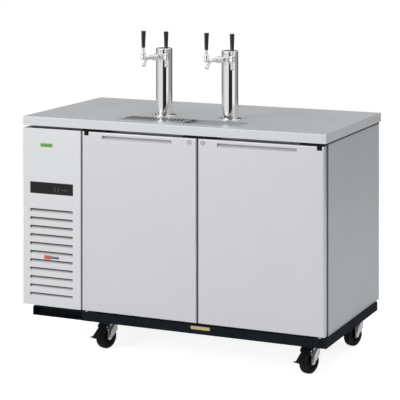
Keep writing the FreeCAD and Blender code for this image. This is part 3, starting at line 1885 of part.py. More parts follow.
# --------------------------------------------------------------------------- fasteners
def build_flange_screws():
    """Six screws that hold the tower flanges to the worktop."""
    screws = []
    for x, y in flange_screws():
        seat = "top_z + flange_thick"
        head = cone(x, y, seat, "screw_head_r", "screw_head_r - 1.2", "screw_head_high")
        shank = cylinder(x, y, "top_z - screw_long", "screw_r", "screw_long + flange_thick")
        screws.append(fuse(head, shank))
    node("flange_screws", group(*screws))


# --------------------------------------------------------------------------- the object
build_outer_shell()
build_insulation()
build_inner_liner()
build_face_frame()
build_countertop()
build_countertop_core()
build_drip_tray()
build_drip_grid()
build_drain_line()
build_door("door_left", "door1_left", "door1_right", True, ("grip1_left", "grip1_right"), "lock1_x")
build_door("door_right", "door2_left", "door2_right", False, ("grip2_left", "grip2_right"), "lock2_x")
build_hinge_brackets()
build_lock_strike()
build_grille_panel()
build_control_display()
build_base_frame()
build_kick_plate()
build_badge_plate()
for tower_name, tower_axis, tower_taps in TOWERS:
    build_tower(tower_name, tower_axis, tower_taps)
build_faucet_shanks()
build_faucet_bodies()
for tap, (tap_tower, tap_angle) in enumerate(tap_places(), start=1):
    build_tap_handle(f"tap_handle_{tap}", tap_tower, tap_angle)
build_beer_lines()
build_gas_port()
build_gas_manifold()
build_condenser_coil()
build_condenser_shroud()
build_condenser_motor()
build_fan("condenser_fan", "fan_r", "fan_x", "front_y + fan_y", "fan_z", AXIS_ROTATIONS["Y"])
build_compressor()
build_evaporator_cover()
build_evaporator_coil()
build_evaporator_motor()
build_fan(
    "evaporator_fan",
    "evap_fan_r",
    f"{EVAP_LEFT} + 62",
    "front_y + evap_fan_y",
    "evap_fan_z",
    AXIS_ROTATIONS["X"],
)
build_rear_grille()
build_power_cord()
build_caster_mounts()
CASTER_NAMES = ("front_left", "front_right", "rear_left", "rear_right")
for corner, (caster_x, caster_y) in zip(CASTER_NAMES, caster_places()):
    braked = corner.startswith("front")
    build_caster_fork(f"caster_fork_{corner}", caster_x, caster_y, braked)
    build_caster_wheel(f"caster_wheel_{corner}", caster_x, caster_y)
    if braked:
        build_caster_brake(f"caster_brake_{corner}", caster_x, caster_y)
build_flange_screws()
doc.recompute()


# --------------------------------------------------------------------------- checks and export
def check_document():
    for item in doc.Objects:
        faults = {"Invalid", "Error"} & set(item.State)
        if faults:
            raise RuntimeError(f"{item.Label} is {', '.join(faults)}")
        if item.TypeId == "PartDesign::Pocket" and item.BaseFeature:
            if item.Shape.Volume > item.BaseFeature.Shape.Volume - 1e-3:
                raise RuntimeError(f"{item.Label} cuts nothing")
    for item in nodes:
        if item.Shape.isNull() or not item.Shape.isValid() or not item.Shape.Solids:
            raise RuntimeError(f"{item.Label} has no valid solid")


check_document()
os.makedirs("parts", exist_ok=True)
for item in nodes:
    item.Shape.exportStep(os.path.join("parts", f"{item.Label}.step"))
print(len(nodes), "sub-parts written")
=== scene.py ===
"""Looks of the two-door kegerator: materials, fine detail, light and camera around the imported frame."""

import json
import math

import bmesh
import bpy
from mathutils import Matrix, Vector

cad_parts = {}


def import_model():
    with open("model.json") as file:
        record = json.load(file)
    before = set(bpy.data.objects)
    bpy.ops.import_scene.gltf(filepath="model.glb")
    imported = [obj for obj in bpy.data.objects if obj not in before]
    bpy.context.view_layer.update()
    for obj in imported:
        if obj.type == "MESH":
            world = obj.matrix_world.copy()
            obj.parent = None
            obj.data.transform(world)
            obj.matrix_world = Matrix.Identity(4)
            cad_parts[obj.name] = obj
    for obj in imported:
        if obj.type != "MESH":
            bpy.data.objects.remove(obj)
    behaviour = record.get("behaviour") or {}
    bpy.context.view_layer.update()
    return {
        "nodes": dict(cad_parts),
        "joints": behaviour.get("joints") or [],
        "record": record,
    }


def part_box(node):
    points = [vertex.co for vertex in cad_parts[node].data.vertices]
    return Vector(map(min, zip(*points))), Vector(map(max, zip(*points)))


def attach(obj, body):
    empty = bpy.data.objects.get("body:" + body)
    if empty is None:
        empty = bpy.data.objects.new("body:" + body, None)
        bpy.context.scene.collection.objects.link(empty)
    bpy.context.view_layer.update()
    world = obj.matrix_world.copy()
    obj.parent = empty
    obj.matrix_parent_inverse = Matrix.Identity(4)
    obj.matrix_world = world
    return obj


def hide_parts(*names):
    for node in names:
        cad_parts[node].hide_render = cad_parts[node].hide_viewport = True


MM = 0.001


# --------------------------------------------------------------------------- node materials
class Finish:
    """A procedural material being wired: nodes are added by type, sockets are set by name."""

    def __init__(self, base, roughness, metallic=0.0):
        self.material = bpy.data.materials.new("finish")
        self.material.use_nodes = True
        self.tree = self.material.node_tree
        self.shader = self.tree.nodes["Principled BSDF"]
        self.set(self.shader, "Base Color", (*base, 1.0))
        self.set(self.shader, "Roughness", roughness)
        self.set(self.shader, "Metallic", metallic)
        self.coordinates = self.tree.nodes.new("ShaderNodeTexCoord").outputs["Object"]

    def set(self, node, socket, value):
        """Give a socket a plain value, or link it when the value is another node's output."""
        if isinstance(value, bpy.types.NodeSocket):
            self.tree.links.new(value, node.inputs[socket])
        else:
            node.inputs[socket].default_value = value

    def add(self, kind, output, **inputs):
        """Add a node and return one output; a keyword's underscores are spaces in the socket's name."""
        node = self.tree.nodes.new(kind)
        for socket, value in inputs.items():
            self.set(node, socket.replace("_", " "), value)
        return node.outputs[output]

    def stretched(self, scale):
        """Object coordinates scaled along each axis."""
        return self.add("ShaderNodeMapping", "Vector", Vector=self.coordinates, Scale=scale)

    def noise(self, scale, detail=3.0, vector=None, roughness=0.5):
        """Soft cloudy texture, about 0.3 to 0.7."""
        source = self.coordinates if vector is None else vector
        return self.add(
            "ShaderNodeTexNoise", "Fac", Vector=source, Scale=scale, Detail=detail, Roughness=roughness
        )

    def cells(self, scale):
        """Distance to the middle of the nearest cell."""
        return self.add("ShaderNodeTexVoronoi", "Distance", Vector=self.coordinates, Scale=scale)

    def ranged(self, value, low, high, from_low=0.3, from_high=0.7):
        """Map a texture's from_low to from_high onto low to high."""
        node = self.tree.nodes.new("ShaderNodeMapRange")
        for index, number in enumerate((value, from_low, from_high, low, high)):
            self.set(node, index, number)
        return node.outputs["Result"]

    def blend(self, factor, first, second):
        """Mix two colours, each a triple or a colour output."""
        node = self.tree.nodes.new("ShaderNodeMix")
        node.data_type = "RGBA"
        self.tree.links.new(factor, node.inputs["Factor"])
        for socket, value in (("A", first), ("B", second)):
            target = next(item for item in node.inputs if item.name == socket and item.type == "RGBA")
            if isinstance(value, bpy.types.NodeSocket):
                self.tree.links.new(value, target)
            else:
                target.default_value = (*value, 1.0)
        return next(item for item in node.outputs if item.type == "RGBA")

    def colour(self, value):
        self.set(self.shader, "Base Color", value)

    def rough(self, value):
        self.set(self.shader, "Roughness", value)

    def bump(self, height, strength, distance):
        node = self.tree.nodes.new("ShaderNodeBump")
        self.set(node, "Strength", strength)
        self.set(node, "Distance", distance)
        self.set(node, "Height", height)
        self.set(self.shader, "Normal", node.outputs["Normal"])

    def more(self, **inputs):
        """Set further sockets of the shader."""
        for socket, value in inputs.items():
            self.set(self.shader, socket.replace("_", " "), value)


def shade(base, factor):
    """A colour made darker or lighter."""
    return tuple(min(1.0, channel * factor) for channel in base)


# Noise scales of the grain of brushed steel, across its lines and along them, and its contrast
GRAIN_ACROSS, GRAIN_ALONG = 900.0, 6.0
GRAIN_CONTRAST = 0.02


def brushed(base, grain, roughness=0.38, metallic=0.55, edge=1.0):
    """Satin stainless steel: fine grain lines along one axis, soft smudges and faint colour drift.

    edge paints light and shade on the upright faces against the level ones, by scaling their colour.
    Above 1 it paints a highlight on lit upright faces, and below 1 it paints shade on the walls of slots.
    """
    scale = tuple(GRAIN_ALONG if axis == grain else GRAIN_ACROSS for axis in "XYZ")
    dark, light = shade(base, 1.0 - GRAIN_CONTRAST), shade(base, 1.0 + GRAIN_CONTRAST)
    finish = Finish(base, roughness, metallic)
    lines = finish.noise(scale=1.0, detail=2.0, vector=finish.stretched(scale))
    smudge = finish.noise(scale=3.5, detail=4.0)
    grained = finish.blend(finish.ranged(lines, 0.0, 1.0), dark, light)
    drift = finish.blend(finish.ranged(smudge, 0.0, 0.35), grained, shade(base, 0.93))
    # Painted light and shade: faces that do not face up take the base colour scaled by edge; faces that
    # face up keep the grain and smudges
    if edge != 1.0:
        normal = finish.add("ShaderNodeNewGeometry", "Normal")
        level = finish.add("ShaderNodeSeparateXYZ", "Z", Vector=normal)
        drift = finish.blend(level, shade(base, edge), drift)
    finish.colour(drift)
    finish.rough(finish.ranged(smudge, roughness - 0.03, roughness + 0.06))
    finish.bump(lines, strength=0.03, distance=0.0004)
    return finish.material


def polished(base, roughness=0.05):
    """Chrome plate: near mirror, with faint wipe marks in its roughness."""
    finish = Finish(base, roughness, metallic=1.0)
    wipes = finish.noise(scale=14.0, detail=5.0, vector=finish.stretched((1.0, 1.0, 0.35)))
    finish.rough(finish.ranged(wipes, roughness, roughness + 0.05))
    finish.bump(finish.noise(scale=60.0, detail=2.0), strength=0.01, distance=0.0005)
    return finish.material


def plastic(base, roughness, grain_scale, grain_depth, coat=0.0):
    """Moulded plastic: a pebbled surface, with slight shade and gloss variation."""
    finish = Finish(base, roughness)
    cloud = finish.noise(scale=9.0, detail=3.0)
    finish.colour(finish.blend(finish.ranged(cloud, 0.0, 1.0), shade(base, 0.9), shade(base, 1.12)))
    finish.rough(finish.ranged(cloud, roughness - 0.04, roughness + 0.07))
    finish.bump(finish.cells(scale=grain_scale), strength=grain_depth, distance=0.0006)
    finish.more(Coat_Weight=coat, Coat_Roughness=0.08)
    return finish.material


def rubber(base, roughness=0.62):
    """Matt rubber: dull, with a dusty bloom where noise is high."""
    finish = Finish(base, roughness)
    dust = finish.noise(scale=26.0, detail=6.0, roughness=0.65)
    bloom = finish.ranged(dust, 0.0, 0.8, from_low=0.42, from_high=0.78)
    finish.colour(finish.blend(bloom, base, shade(base, 2.1)))
    finish.rough(finish.ranged(dust, roughness - 0.1, roughness + 0.12))
    finish.bump(finish.noise(scale=700.0, detail=2.0), strength=0.12, distance=0.0004)
    finish.more(Specular_IOR_Level=0.2)
    return finish.material


def enamel(base, roughness, coat=0.0, shine=0.25):
    """Sprayed paint with an orange-peel bump, worn a little duller in patches."""
    finish = Finish(base, roughness)
    patches = finish.noise(scale=11.0, detail=4.0)
    finish.colour(finish.blend(finish.ranged(patches, 0.0, 1.0), shade(base, 0.9), shade(base, 1.18)))
    finish.rough(finish.ranged(patches, roughness - 0.05, roughness + 0.08))
    finish.bump(finish.noise(scale=420.0, detail=2.0), strength=0.10, distance=0.0005)
    finish.more(Coat_Weight=coat, Coat_Roughness=0.15, Specular_IOR_Level=shine)
    return finish.material


def zinc(base, roughness=0.3):
    """Bright zinc plate: crystal patches of slightly different shade and gloss."""
    finish = Finish(base, roughness, metallic=1.0)
    crystals = finish.cells(scale=160.0)
    patches = finish.ranged(crystals, 0.0, 1.0, from_low=0.1, from_high=0.8)
    finish.colour(finish.blend(patches, base, shade(base, 0.8)))
    finish.rough(finish.ranged(crystals, roughness - 0.05, roughness + 0.12, from_low=0.1, from_high=0.8))
    finish.bump(finish.noise(scale=240.0, detail=3.0), strength=0.08, distance=0.0004)
    return finish.material


def foam(base):
    """Rigid foam: small closed cells and a blotchy tint."""
    finish = Finish(base, roughness=0.9)
    blotches = finish.noise(scale=16.0, detail=5.0)
    finish.colour(finish.blend(finish.ranged(blotches, 0.0, 1.0), base, shade(base, 0.82)))
    finish.bump(finish.cells(scale=420.0), strength=0.5, distance=0.001)
    return finish.material


def chipboard(base):
    """Board with pressed wood chips: each cell has its own tint."""
    finish = Finish(base, roughness=0.75)
    flattened = finish.stretched((1.0, 1.0, 3.0))
    chips = finish.add("ShaderNodeTexVoronoi", "Color", Vector=flattened, Scale=170.0)
    tint = finish.add("ShaderNodeRGBToBW", "Val", Color=chips)
    finish.colour(finish.blend(tint, shade(base, 0.7), shade(base, 1.25)))
    finish.bump(tint, strength=0.2, distance=0.0005)
    return finish.material


def hose(base):
    """Milky flexible hose: soft, slightly see-through and glossy."""
    finish = Finish(base, roughness=0.3)
    cloud = finish.noise(scale=40.0, detail=3.0)
    finish.colour(finish.blend(finish.ranged(cloud, 0.0, 1.0), base, shade(base, 0.88)))
    finish.bump(finish.noise(scale=300.0), strength=0.04, distance=0.0004)
    finish.more(Transmission_Weight=0.35, Subsurface_Weight=0.1)
    return finish.material


def fins(base):
    """Dull aluminium of thin fins, dusty in patches."""
    finish = Finish(base, roughness=0.45, metallic=1.0)
    dust = finish.noise(scale=30.0, detail=5.0)
    finish.colour(finish.blend(finish.ranged(dust, 0.0, 0.6), base, shade(base, 0.7)))
    finish.rough(finish.ranged(dust, 0.38, 0.6))
    finish.bump(finish.noise(scale=500.0), strength=0.1, distance=0.0004)
    return finish.material


def window(base):
    """Smooth black display window under a thin gloss layer."""
    finish = Finish(base, roughness=0.18)
    haze = finish.noise(scale=18.0, detail=3.0)
    finish.colour(finish.blend(finish.ranged(haze, 0.0, 1.0), base, shade(base, 1.4)))
    finish.rough(finish.ranged(haze, 0.12, 0.24))
    finish.bump(finish.noise(scale=120.0), strength=0.01, distance=0.0003)
    finish.more(Coat_Weight=0.05, Coat_Roughness=0.04, Specular_IOR_Level=0.2)
    return finish.material


# Colours are red, green and blue from 0 to 1, linear
SIDE_GREY = (0.50, 0.53, 0.55)
FRONT_GREY = (0.685, 0.69, 0.715)
TOP_GREY = (0.60, 0.615, 0.63)
CHROME = (0.86, 0.865, 0.87)
ALUMINIUM = (0.62, 0.63, 0.64)

FINISHES = {
    "side_steel": brushed(SIDE_GREY, grain="Z", roughness=0.5, metallic=0.12),
    # The countertop's upright front edge is painted 1.15 times lighter than its top: a painted highlight
    "top_steel": brushed(TOP_GREY, grain="X", roughness=0.4, metallic=0.3, edge=1.15),
    "tray_steel": brushed((0.38, 0.39, 0.40), grain="X", roughness=0.32, metallic=0.4),
    # The upright walls of the drip grid's slots are painted almost black: painted shade, so that the
    # slots read dark
    "grid_steel": brushed((0.43, 0.44, 0.45), grain="X", roughness=0.3, metallic=0.4, edge=0.05),
    # The front panel is the doors' steel painted lighter: a painted highlight for the stronger light
    # falling on it
    "panel_steel": brushed((0.74, 0.75, 0.765), grain="Z", roughness=0.36),
    "door_steel": brushed(FRONT_GREY, grain="Z", roughness=0.36),
    "frame_steel": brushed((0.55, 0.56, 0.57), grain="Z", roughness=0.4),
    "liner_steel": brushed((0.62, 0.63, 0.64), grain="Z", roughness=0.42),
    "tower_chrome": polished(CHROME),
    "tap_chrome": polished(CHROME, roughness=0.07),
    "lock_chrome": polished((0.70, 0.70, 0.71), roughness=0.12),
    "badge_brass": polished((0.62, 0.48, 0.24), roughness=0.22),
    "screw_steel": polished((0.72, 0.72, 0.73), roughness=0.2),
    "copper": polished((0.72, 0.36, 0.22), roughness=0.25),
    "caster_zinc": zinc((0.80, 0.81, 0.83), roughness=0.22),
    "web_shade": zinc((0.12, 0.13, 0.14)),
    "coil_aluminium": fins(ALUMINIUM),
    "manifold_aluminium": fins((0.70, 0.71, 0.72)),
    "foam": foam((0.80, 0.70, 0.46)),
    # The board's colour is darkened almost to black: painted shade, so that its edge under the countertop
    # reads as a shadow line
    "board": chipboard((0.030, 0.026, 0.022)),
    "clear_hose": hose((0.82, 0.84, 0.83)),
    "display_black": window((0.010, 0.010, 0.012)),
    "base_dark": enamel((0.011, 0.014, 0.018), roughness=0.5, shine=0.02),
    "bracket_black": enamel((0.006, 0.007, 0.008), roughness=0.5, shine=0.12),
    "brake_black": enamel((0.006, 0.006, 0.007), roughness=0.45, shine=0.15),
    "shroud_steel": enamel((0.02, 0.02, 0.022), roughness=0.45),
    "motor_black": enamel((0.02, 0.02, 0.02), roughness=0.4),
    "compressor_black": enamel((0.012, 0.012, 0.013), roughness=0.28, coat=0.6),
    "seal_rubber": rubber((0.003, 0.003, 0.0035)),
    "cord_black": rubber((0.012, 0.012, 0.012), roughness=0.5),
    "caster_rubber": rubber((0.005, 0.005, 0.006)),
    "fan_black": plastic((0.018, 0.018, 0.018), roughness=0.45, grain_scale=900.0, grain_depth=0.1),
    "port_plastic": plastic((0.02, 0.02, 0.02), roughness=0.55, grain_scale=900.0, grain_depth=0.15),
    "evaporator_plastic": plastic((0.62, 0.63, 0.63), roughness=0.5, grain_scale=700.0, grain_depth=0.12),
    "door_liner_plastic": plastic((0.11, 0.115, 0.12), roughness=0.5, grain_scale=500.0, grain_depth=0.2),
    "handle_black": plastic(
        (0.008, 0.008, 0.009), roughness=0.22, grain_scale=1200.0, grain_depth=0.02, coat=0.5
    ),
    "label_green": plastic((0.13, 0.36, 0.06), roughness=0.4, grain_scale=900.0, grain_depth=0.03),
    "label_red": plastic((0.62, 0.10, 0.10), roughness=0.4, grain_scale=900.0, grain_depth=0.03),
    "label_grey": plastic((0.11, 0.13, 0.17), roughness=0.4, grain_scale=900.0, grain_depth=0.03),
    "label_silver": plastic((0.55, 0.56, 0.57), roughness=0.35, grain_scale=900.0, grain_depth=0.03),
    "display_mark": plastic((0.10, 0.105, 0.115), roughness=0.4, grain_scale=900.0, grain_depth=0.02),
}
for finish_name, material in FINISHES.items():
    material.name = finish_name


# --------------------------------------------------------------------------- the frame
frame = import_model()
SLOT_OF_NODE = {item["node"]: item["material_slot"] for item in frame["record"]["subparts"]}
SIDES = ("left", "right")
CORNERS = ("front_left", "front_right", "rear_left", "rear_right")


def dress_cad_nodes():
    """Give every CAD node the finish of its material slot; the drip grid has a finish of its own, which
    paints shade on the walls of its slots.
    """
    for name, item in frame["nodes"].items():
        finish = FINISHES["grid_steel" if name == "drip_grid" else SLOT_OF_NODE[name]]
        for material_slot in item.material_slots:
            material_slot.material = finish


def joint(name):
    return next(item for item in frame["joints"] if item["name"] == name)


def joint_matrix(name):
    """Local frame at a joint: X along its axis, Z up."""
    data = joint(name)
    along = Vector(data["axis"])
    up = Vector((0.0, 0.0, 1.0))
    back = up.cross(along)
    turn = Matrix((along, back, up)).transposed().to_4x4()
    return Matrix.Translation(Vector(data["pos_m"])) @ turn


# --------------------------------------------------------------------------- mesh helpers
SHARP_ANGLE = math.radians(34.0)
MERGE_DISTANCE = 1e-7
# A sweep changes its side direction when its heading comes closer to it than this cosine
NEARLY_ALONG = 0.95
# Turns that lay local Z along Y and along X
Y_AXIS = Matrix.Rotation(math.radians(-90.0), 4, "X")
X_AXIS = Matrix.Rotation(math.radians(90.0), 4, "Y")


def piece(name, bm, body, slot, replaced=(), finish=None):
    """Turn a bmesh into a piece that rides on a body; it wears the named finish, else that of its
    material slot, and hides the CAD nodes it replaces.
    """
    bmesh.ops.remove_doubles(bm, verts=bm.verts, dist=MERGE_DISTANCE)
    bmesh.ops.recalc_face_normals(bm, faces=bm.faces)
    for face in bm.faces:
        face.smooth = True
    for edge in bm.edges:
        edge.smooth = len(edge.link_faces) == 2 and edge.calc_face_angle() < SHARP_ANGLE
    mesh = bpy.data.meshes.new(name)
    bm.to_mesh(mesh)
    bm.free()
    item = bpy.data.objects.new(name, mesh)
    bpy.context.scene.collection.objects.link(item)
    mesh.materials.append(FINISHES[finish or slot])
    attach(item, body)
    if replaced:
        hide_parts(*replaced)


def turned(angle, axis):
    """Rotation by an angle in degrees about a local axis."""
    return Matrix.Rotation(math.radians(angle), 4, axis)


def moved(x, y, z):
    """Translation in metres."""
    return Matrix.Translation((x, y, z))


def revolved(bm, profile, matrix=Matrix(), segments=48, ripple=None):
    """Add a profile of (radius, height) points turned about local Z; ripple(angle) scales its radii."""
    rings = []
    for radius, height in profile:
        if radius == 0:
            rings.append([bm.verts.new(matrix @ Vector((0.0, 0.0, height * MM)))])
            continue
        ring = []
        for index in range(segments):
            angle = 2 * math.pi * index / segments
            reach = radius * MM * (ripple(angle) if ripple else 1.0)
            point = Vector((reach * math.cos(angle), reach * math.sin(angle), height * MM))
            ring.append(bm.verts.new(matrix @ point))
        rings.append(ring)
    for lower, upper in zip(rings, rings[1:]):
        for index in range(segments):
            following = (index + 1) % segments
            corners = [
                lower[index % len(lower)],
                lower[following % len(lower)],
                upper[following % len(upper)],
                upper[index % len(upper)],
            ]
            unique = list(dict.fromkeys(corners))
            if len(unique) > 2:
                bm.faces.new(unique)


def block(bm, low, high, matrix=Matrix(), bevel=0.0):
    """Add a box between two corners in millimetres; a bevel in millimetres rounds its edges."""
    box_verts = bmesh.ops.create_cube(bm, size=1.0)["verts"]
    for vert in box_verts:
        point = [(low[i] + high[i]) / 2 + vert.co[i] * (high[i] - low[i]) for i in range(3)]
        vert.co = matrix @ (Vector(point) * MM)
    if bevel:
        edges = {edge for vert in box_verts for edge in vert.link_edges}
        bmesh.ops.bevel(
            bm, geom=list(edges), offset=bevel * MM, segments=2, affect="EDGES", profile=0.5
        )


def swept(bm, path, radius, matrix=Matrix(), segments=24):
    """Add a closed tube of one radius whose rings sit on the path's points, square to it."""
    points = [Vector(point) for point in path]
    rings = []
    side = Vector((1.0, 0.0, 0.0))
    for index, point in enumerate(points):
        heading = (points[min(index + 1, len(points) - 1)] - points[max(index - 1, 0)]).normalized()
        if abs(heading.dot(side)) > NEARLY_ALONG:
            side = Vector((0.0, 1.0, 0.0))
        across = heading.cross(side).normalized()
        up = across.cross(heading).normalized()
        side = up
        ring = []
        for step in range(segments):
            angle = 2 * math.pi * step / segments
            offset = (across * math.cos(angle) + up * math.sin(angle)) * radius
            ring.append(bm.verts.new(matrix @ ((point + offset) * MM)))
        rings.append(ring)
    for lower, upper in zip(rings, rings[1:]):
        for step in range(segments):
            following = (step + 1) % segments
            bm.faces.new([lower[step], lower[following], upper[following], upper[step]])
    bm.faces.new(rings[0])
    bm.faces.new(rings[-1])


def rounded(points, steps=6):
    """A smooth path through the points: a Catmull-Rom curve with a few steps between each pair."""
    points = [Vector(point) for point in points]
    path = []
    for index in range(len(points) - 1):
        p1, p2 = points[index], points[index + 1]
        p0, p3 = points[max(index - 1, 0)], points[min(index + 2, len(points) - 1)]
        for step in range(steps):
            t = step / steps
            path.append(
                0.5 * (2 * p1 + (p2 - p0) * t + (2 * p0 - 5 * p1 + 4 * p2 - p3) * t * t
                + (3 * p1 - p0 - 3 * p2 + p3) * t ** 3)
            )
    return path + [points[-1]]


def inset_loop(bm, left, right, bottom, top, inset, depth):
    """Four vertices of a rectangle in XZ, set in from its edges by millimetres, at a depth in metres."""
    corners = ((left, bottom, 1, 1), (right, bottom, -1, 1), (right, top, -1, -1), (left, top, 1, -1))
    return [
        bm.verts.new(Vector((x + sx * inset * MM, depth, z + sz * inset * MM)))
        for x, z, sx, sz in corners
    ]


def joined(bm, first, second):
    """Add a closed strip of faces between two loops of equal length."""
    for index in range(len(first)):
        after = (index + 1) % len(first)
        bm.faces.new([first[index], first[after], second[after], second[index]])


# --------------------------------------------------------------------------- taps
# Each profile is (radius, height) in millimetres, measured from its own joint along its own axis
GRIP_PROFILE = [
    (0, 26), (7.9, 26), (8.5, 26.8), (8.5, 29), (8.2, 30), (8.9, 50), (9.8, 76), (10.6, 96),
    (10.9, 99), (10.5, 100.8), (8.8, 101.8), (0, 102.2),
]
FERRULE_PROFILE = [
    (0, -6.5), (3.4, -5.5), (5.6, -3.3), (6.5, 0), (5.6, 3.3), (3.6, 5.4), (3.4, 8), (6.6, 8.2),
    (7.3, 9), (7.3, 12.5), (6.5, 13.4), (6.1, 15), (6.1, 23), (6.7, 24), (6.7, 26), (0, 26),
]
CHAMBER_PROFILE = [
    (0, -31), (5, -30), (8.6, -27.6), (10.6, -24), (11, -21), (11, -15), (10, -13.2), (9.6, -12),
    (9.6, -7), (11.2, -5.4), (11.4, -4), (11.4, 0.8), (10.8, 1.7), (8.2, 2), (7.6, 1.4), (7.4, -4),
    (0, -5),
]
BARREL_PROFILE = [
    (0, 0), (8.2, 0), (8.2, 20), (8.6, 24), (8.6, 34), (10.4, 36), (10.4, 39), (9, 41), (9, 50),
    (12.6, 54), (13.4, 56), (13.4, 66), (12.2, 68), (0, 73),
]
SPOUT_PROFILE = [
    (0, -37), (4.6, -37), (4.8, -43.2), (7.4, -43.2), (8, -42.6), (8, -34), (7.2, -32.5), (6.2, -31),
    (5.8, -20), (6.4, -8), (7.4, 0), (0, 2),
]
SHANK_PROFILE = [
    (0, 66), (8, 66), (8, 88), (10.5, 88.5), (11.5, 90), (15.5, 91), (17, 93), (17.2, 95.5),
    (16.6, 97), (13, 98.4), (8, 98.4), (8, 104), (0, 104),
]
COUPLING_PROFILE = [(9, 67), (15, 67), (15.6, 68), (15.6, 84), (15, 85), (9, 85)]
COUPLING_NOTCHES = 6
NOTCH_REACH = 0.82
NOTCH_SHARE = 0.9
HANDLE_LEAN = -1.0
BARREL_DROP = 22
SPOUT_START = 25
SPOUT_LEAN = -35.0
TAP_COUNT = 4


def notched(angle):
    """Shallow spanner notches round a nut."""
    return NOTCH_SHARE if math.cos(COUPLING_NOTCHES * angle) > NOTCH_REACH else 1.0


def build_taps():
    """Handle and ferrule on each lever; chamber, barrel, spout and shank on the cabinet."""
    for number in range(1, TAP_COUNT + 1):
        lever = f"tap_{number}"
        place = joint_matrix(f"{lever}_pull")
        leaning = place @ turned(HANDLE_LEAN, "X")
        grip = bmesh.new()
        revolved(grip, GRIP_PROFILE, leaning)
        piece(f"tap_grip_{number}", grip, lever, "handle_black", [f"tap_handle_{number}"])
        ferrule = bmesh.new()
        revolved(ferrule, FERRULE_PROFILE, leaning)
        piece(f"tap_ferrule_{number}", ferrule, lever, "tap_chrome")
        along = place @ moved(0.0, 0.0, -BARREL_DROP * MM) @ Y_AXIS
        spout = place @ moved(0.0, SPOUT_START * MM, -BARREL_DROP * MM) @ turned(SPOUT_LEAN, "X")
        body = bmesh.new()
        revolved(body, CHAMBER_PROFILE, place)
        revolved(body, BARREL_PROFILE, along)
        revolved(body, SPOUT_PROFILE, spout)
        piece(f"faucet_{number}", body, "cabinet", "tap_chrome", ["faucet_bodies"])
        shank = bmesh.new()
        revolved(shank, SHANK_PROFILE, along)
        revolved(shank, COUPLING_PROFILE, along, segments=96, ripple=notched)
        piece(f"shank_{number}", shank, "cabinet", "tap_chrome", ["faucet_shanks"])


# --------------------------------------------------------------------------- doors
# Bellows of the seal: (share of its depth, inset in millimetres)
SEAL_LEVELS = [(0.0, 1), (0.18, 0.3), (0.32, 1.5), (0.46, 0.3), (0.60, 1.5), (0.74, 0), (1.0, 0)]
SEAL_WIDTH = 20
BEZEL_PROFILE = [(7.4, 0.8), (7.6, 0), (8.8, 0), (9.8, 1), (10, 2.2), (10, 4), (7.4, 4)]
KEY_SLOT = (-1.1, -4.6, 0.2), (1.1, 4.6, 1.2)
# Door liner in millimetres: thickness of the flat rim, then (inset, drop from the crest) over the dam
LINER_RIM = 3
DAM_SECTION = [(2, 5), (3.5, 1.5), (7, 0), (46, 0), (49, 1.5), (53, 7), (56, 8)]
DAM_GAP = 12
POST_GAP = 10
# Left and right faces of the post between the doors, in millimetres from the frame's middle
POST_LEFT, POST_RIGHT = 111, 171


def build_door_seals():
    """Magnetic seals with a bellows between the foot and the magnet bar."""
    for side in SIDES:
        low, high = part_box(f"door_{side}_gasket")
        front, deep = low[1], high[1] - low[1]
        outer = [(inset, front + share * deep) for share, inset in SEAL_LEVELS]
        inner = [(SEAL_WIDTH - inset, front + share * deep) for share, inset in reversed(SEAL_LEVELS)]
        seal = bmesh.new()
        whole = (low[0], high[0], low[2], high[2])
        loops = [inset_loop(seal, *whole, inset, depth) for inset, depth in outer + inner]
        for first, second in zip(loops, loops[1:] + loops[:1]):
            joined(seal, first, second)
        piece(f"door_seal_{side}", seal, f"door_{side}", "seal_rubber", [f"door_{side}_gasket"])


def build_locks():
    """A bezel ring on the face of each lock, and a black block sunk in its key slot, which paints the
    shade inside the keyway.
    """
    for side in SIDES:
        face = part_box(f"door_{side}_lock")[0][1]
        pivot = joint(f"lock_{side}_turn")["pos_m"]
        centre = moved(pivot[0], face, pivot[2]) @ Y_AXIS
        bezel = bmesh.new()
        revolved(bezel, BEZEL_PROFILE, centre)
        piece(f"lock_bezel_{side}", bezel, f"lock_{side}", "lock_chrome")
        # Painted shade: a black block in the key slot
        dark = bmesh.new()
        block(dark, *KEY_SLOT, centre, bevel=0.4)
        piece(f"lock_slot_{side}", dark, f"lock_{side}", "lock_chrome", finish="display_black")


def door_dams():
    """Left, right, bottom and top of each door's raised dam, inside its half of the opening."""
    low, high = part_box("inner_liner")
    gap = DAM_GAP * MM
    bottom, top = low[2] + gap, high[2] - gap
    return {
        "left": (low[0] + gap, (POST_LEFT - POST_GAP) * MM, bottom, top),
        "right": ((POST_RIGHT + POST_GAP) * MM, high[0] - gap, bottom, top),
    }


def build_door_liners():
    """Formed inner panels: a flat edge, a raised dam with rounded shoulders and a sunk middle."""
    dams = door_dams()
    for side in SIDES:
        low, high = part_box(f"door_{side}_liner")
        whole, dam = (low[0], high[0], low[2], high[2]), dams[side]
        rim, crest = low[1] + LINER_RIM * MM, high[1]
        panel = bmesh.new()
        loops = [
            inset_loop(panel, *whole, 0, low[1]),
            inset_loop(panel, *whole, 0, rim),
            inset_loop(panel, *dam, 0, rim),
        ]
        loops += [inset_loop(panel, *dam, inset, crest - drop * MM) for inset, drop in DAM_SECTION]
        for outer, inner in zip(loops, loops[1:]):
            joined(panel, outer, inner)
        panel.faces.new(loops[-1])
        panel.faces.new(loops[0])
        piece(f"door_panel_{side}", panel, f"door_{side}", "door_liner_plastic", [f"door_{side}_liner"])


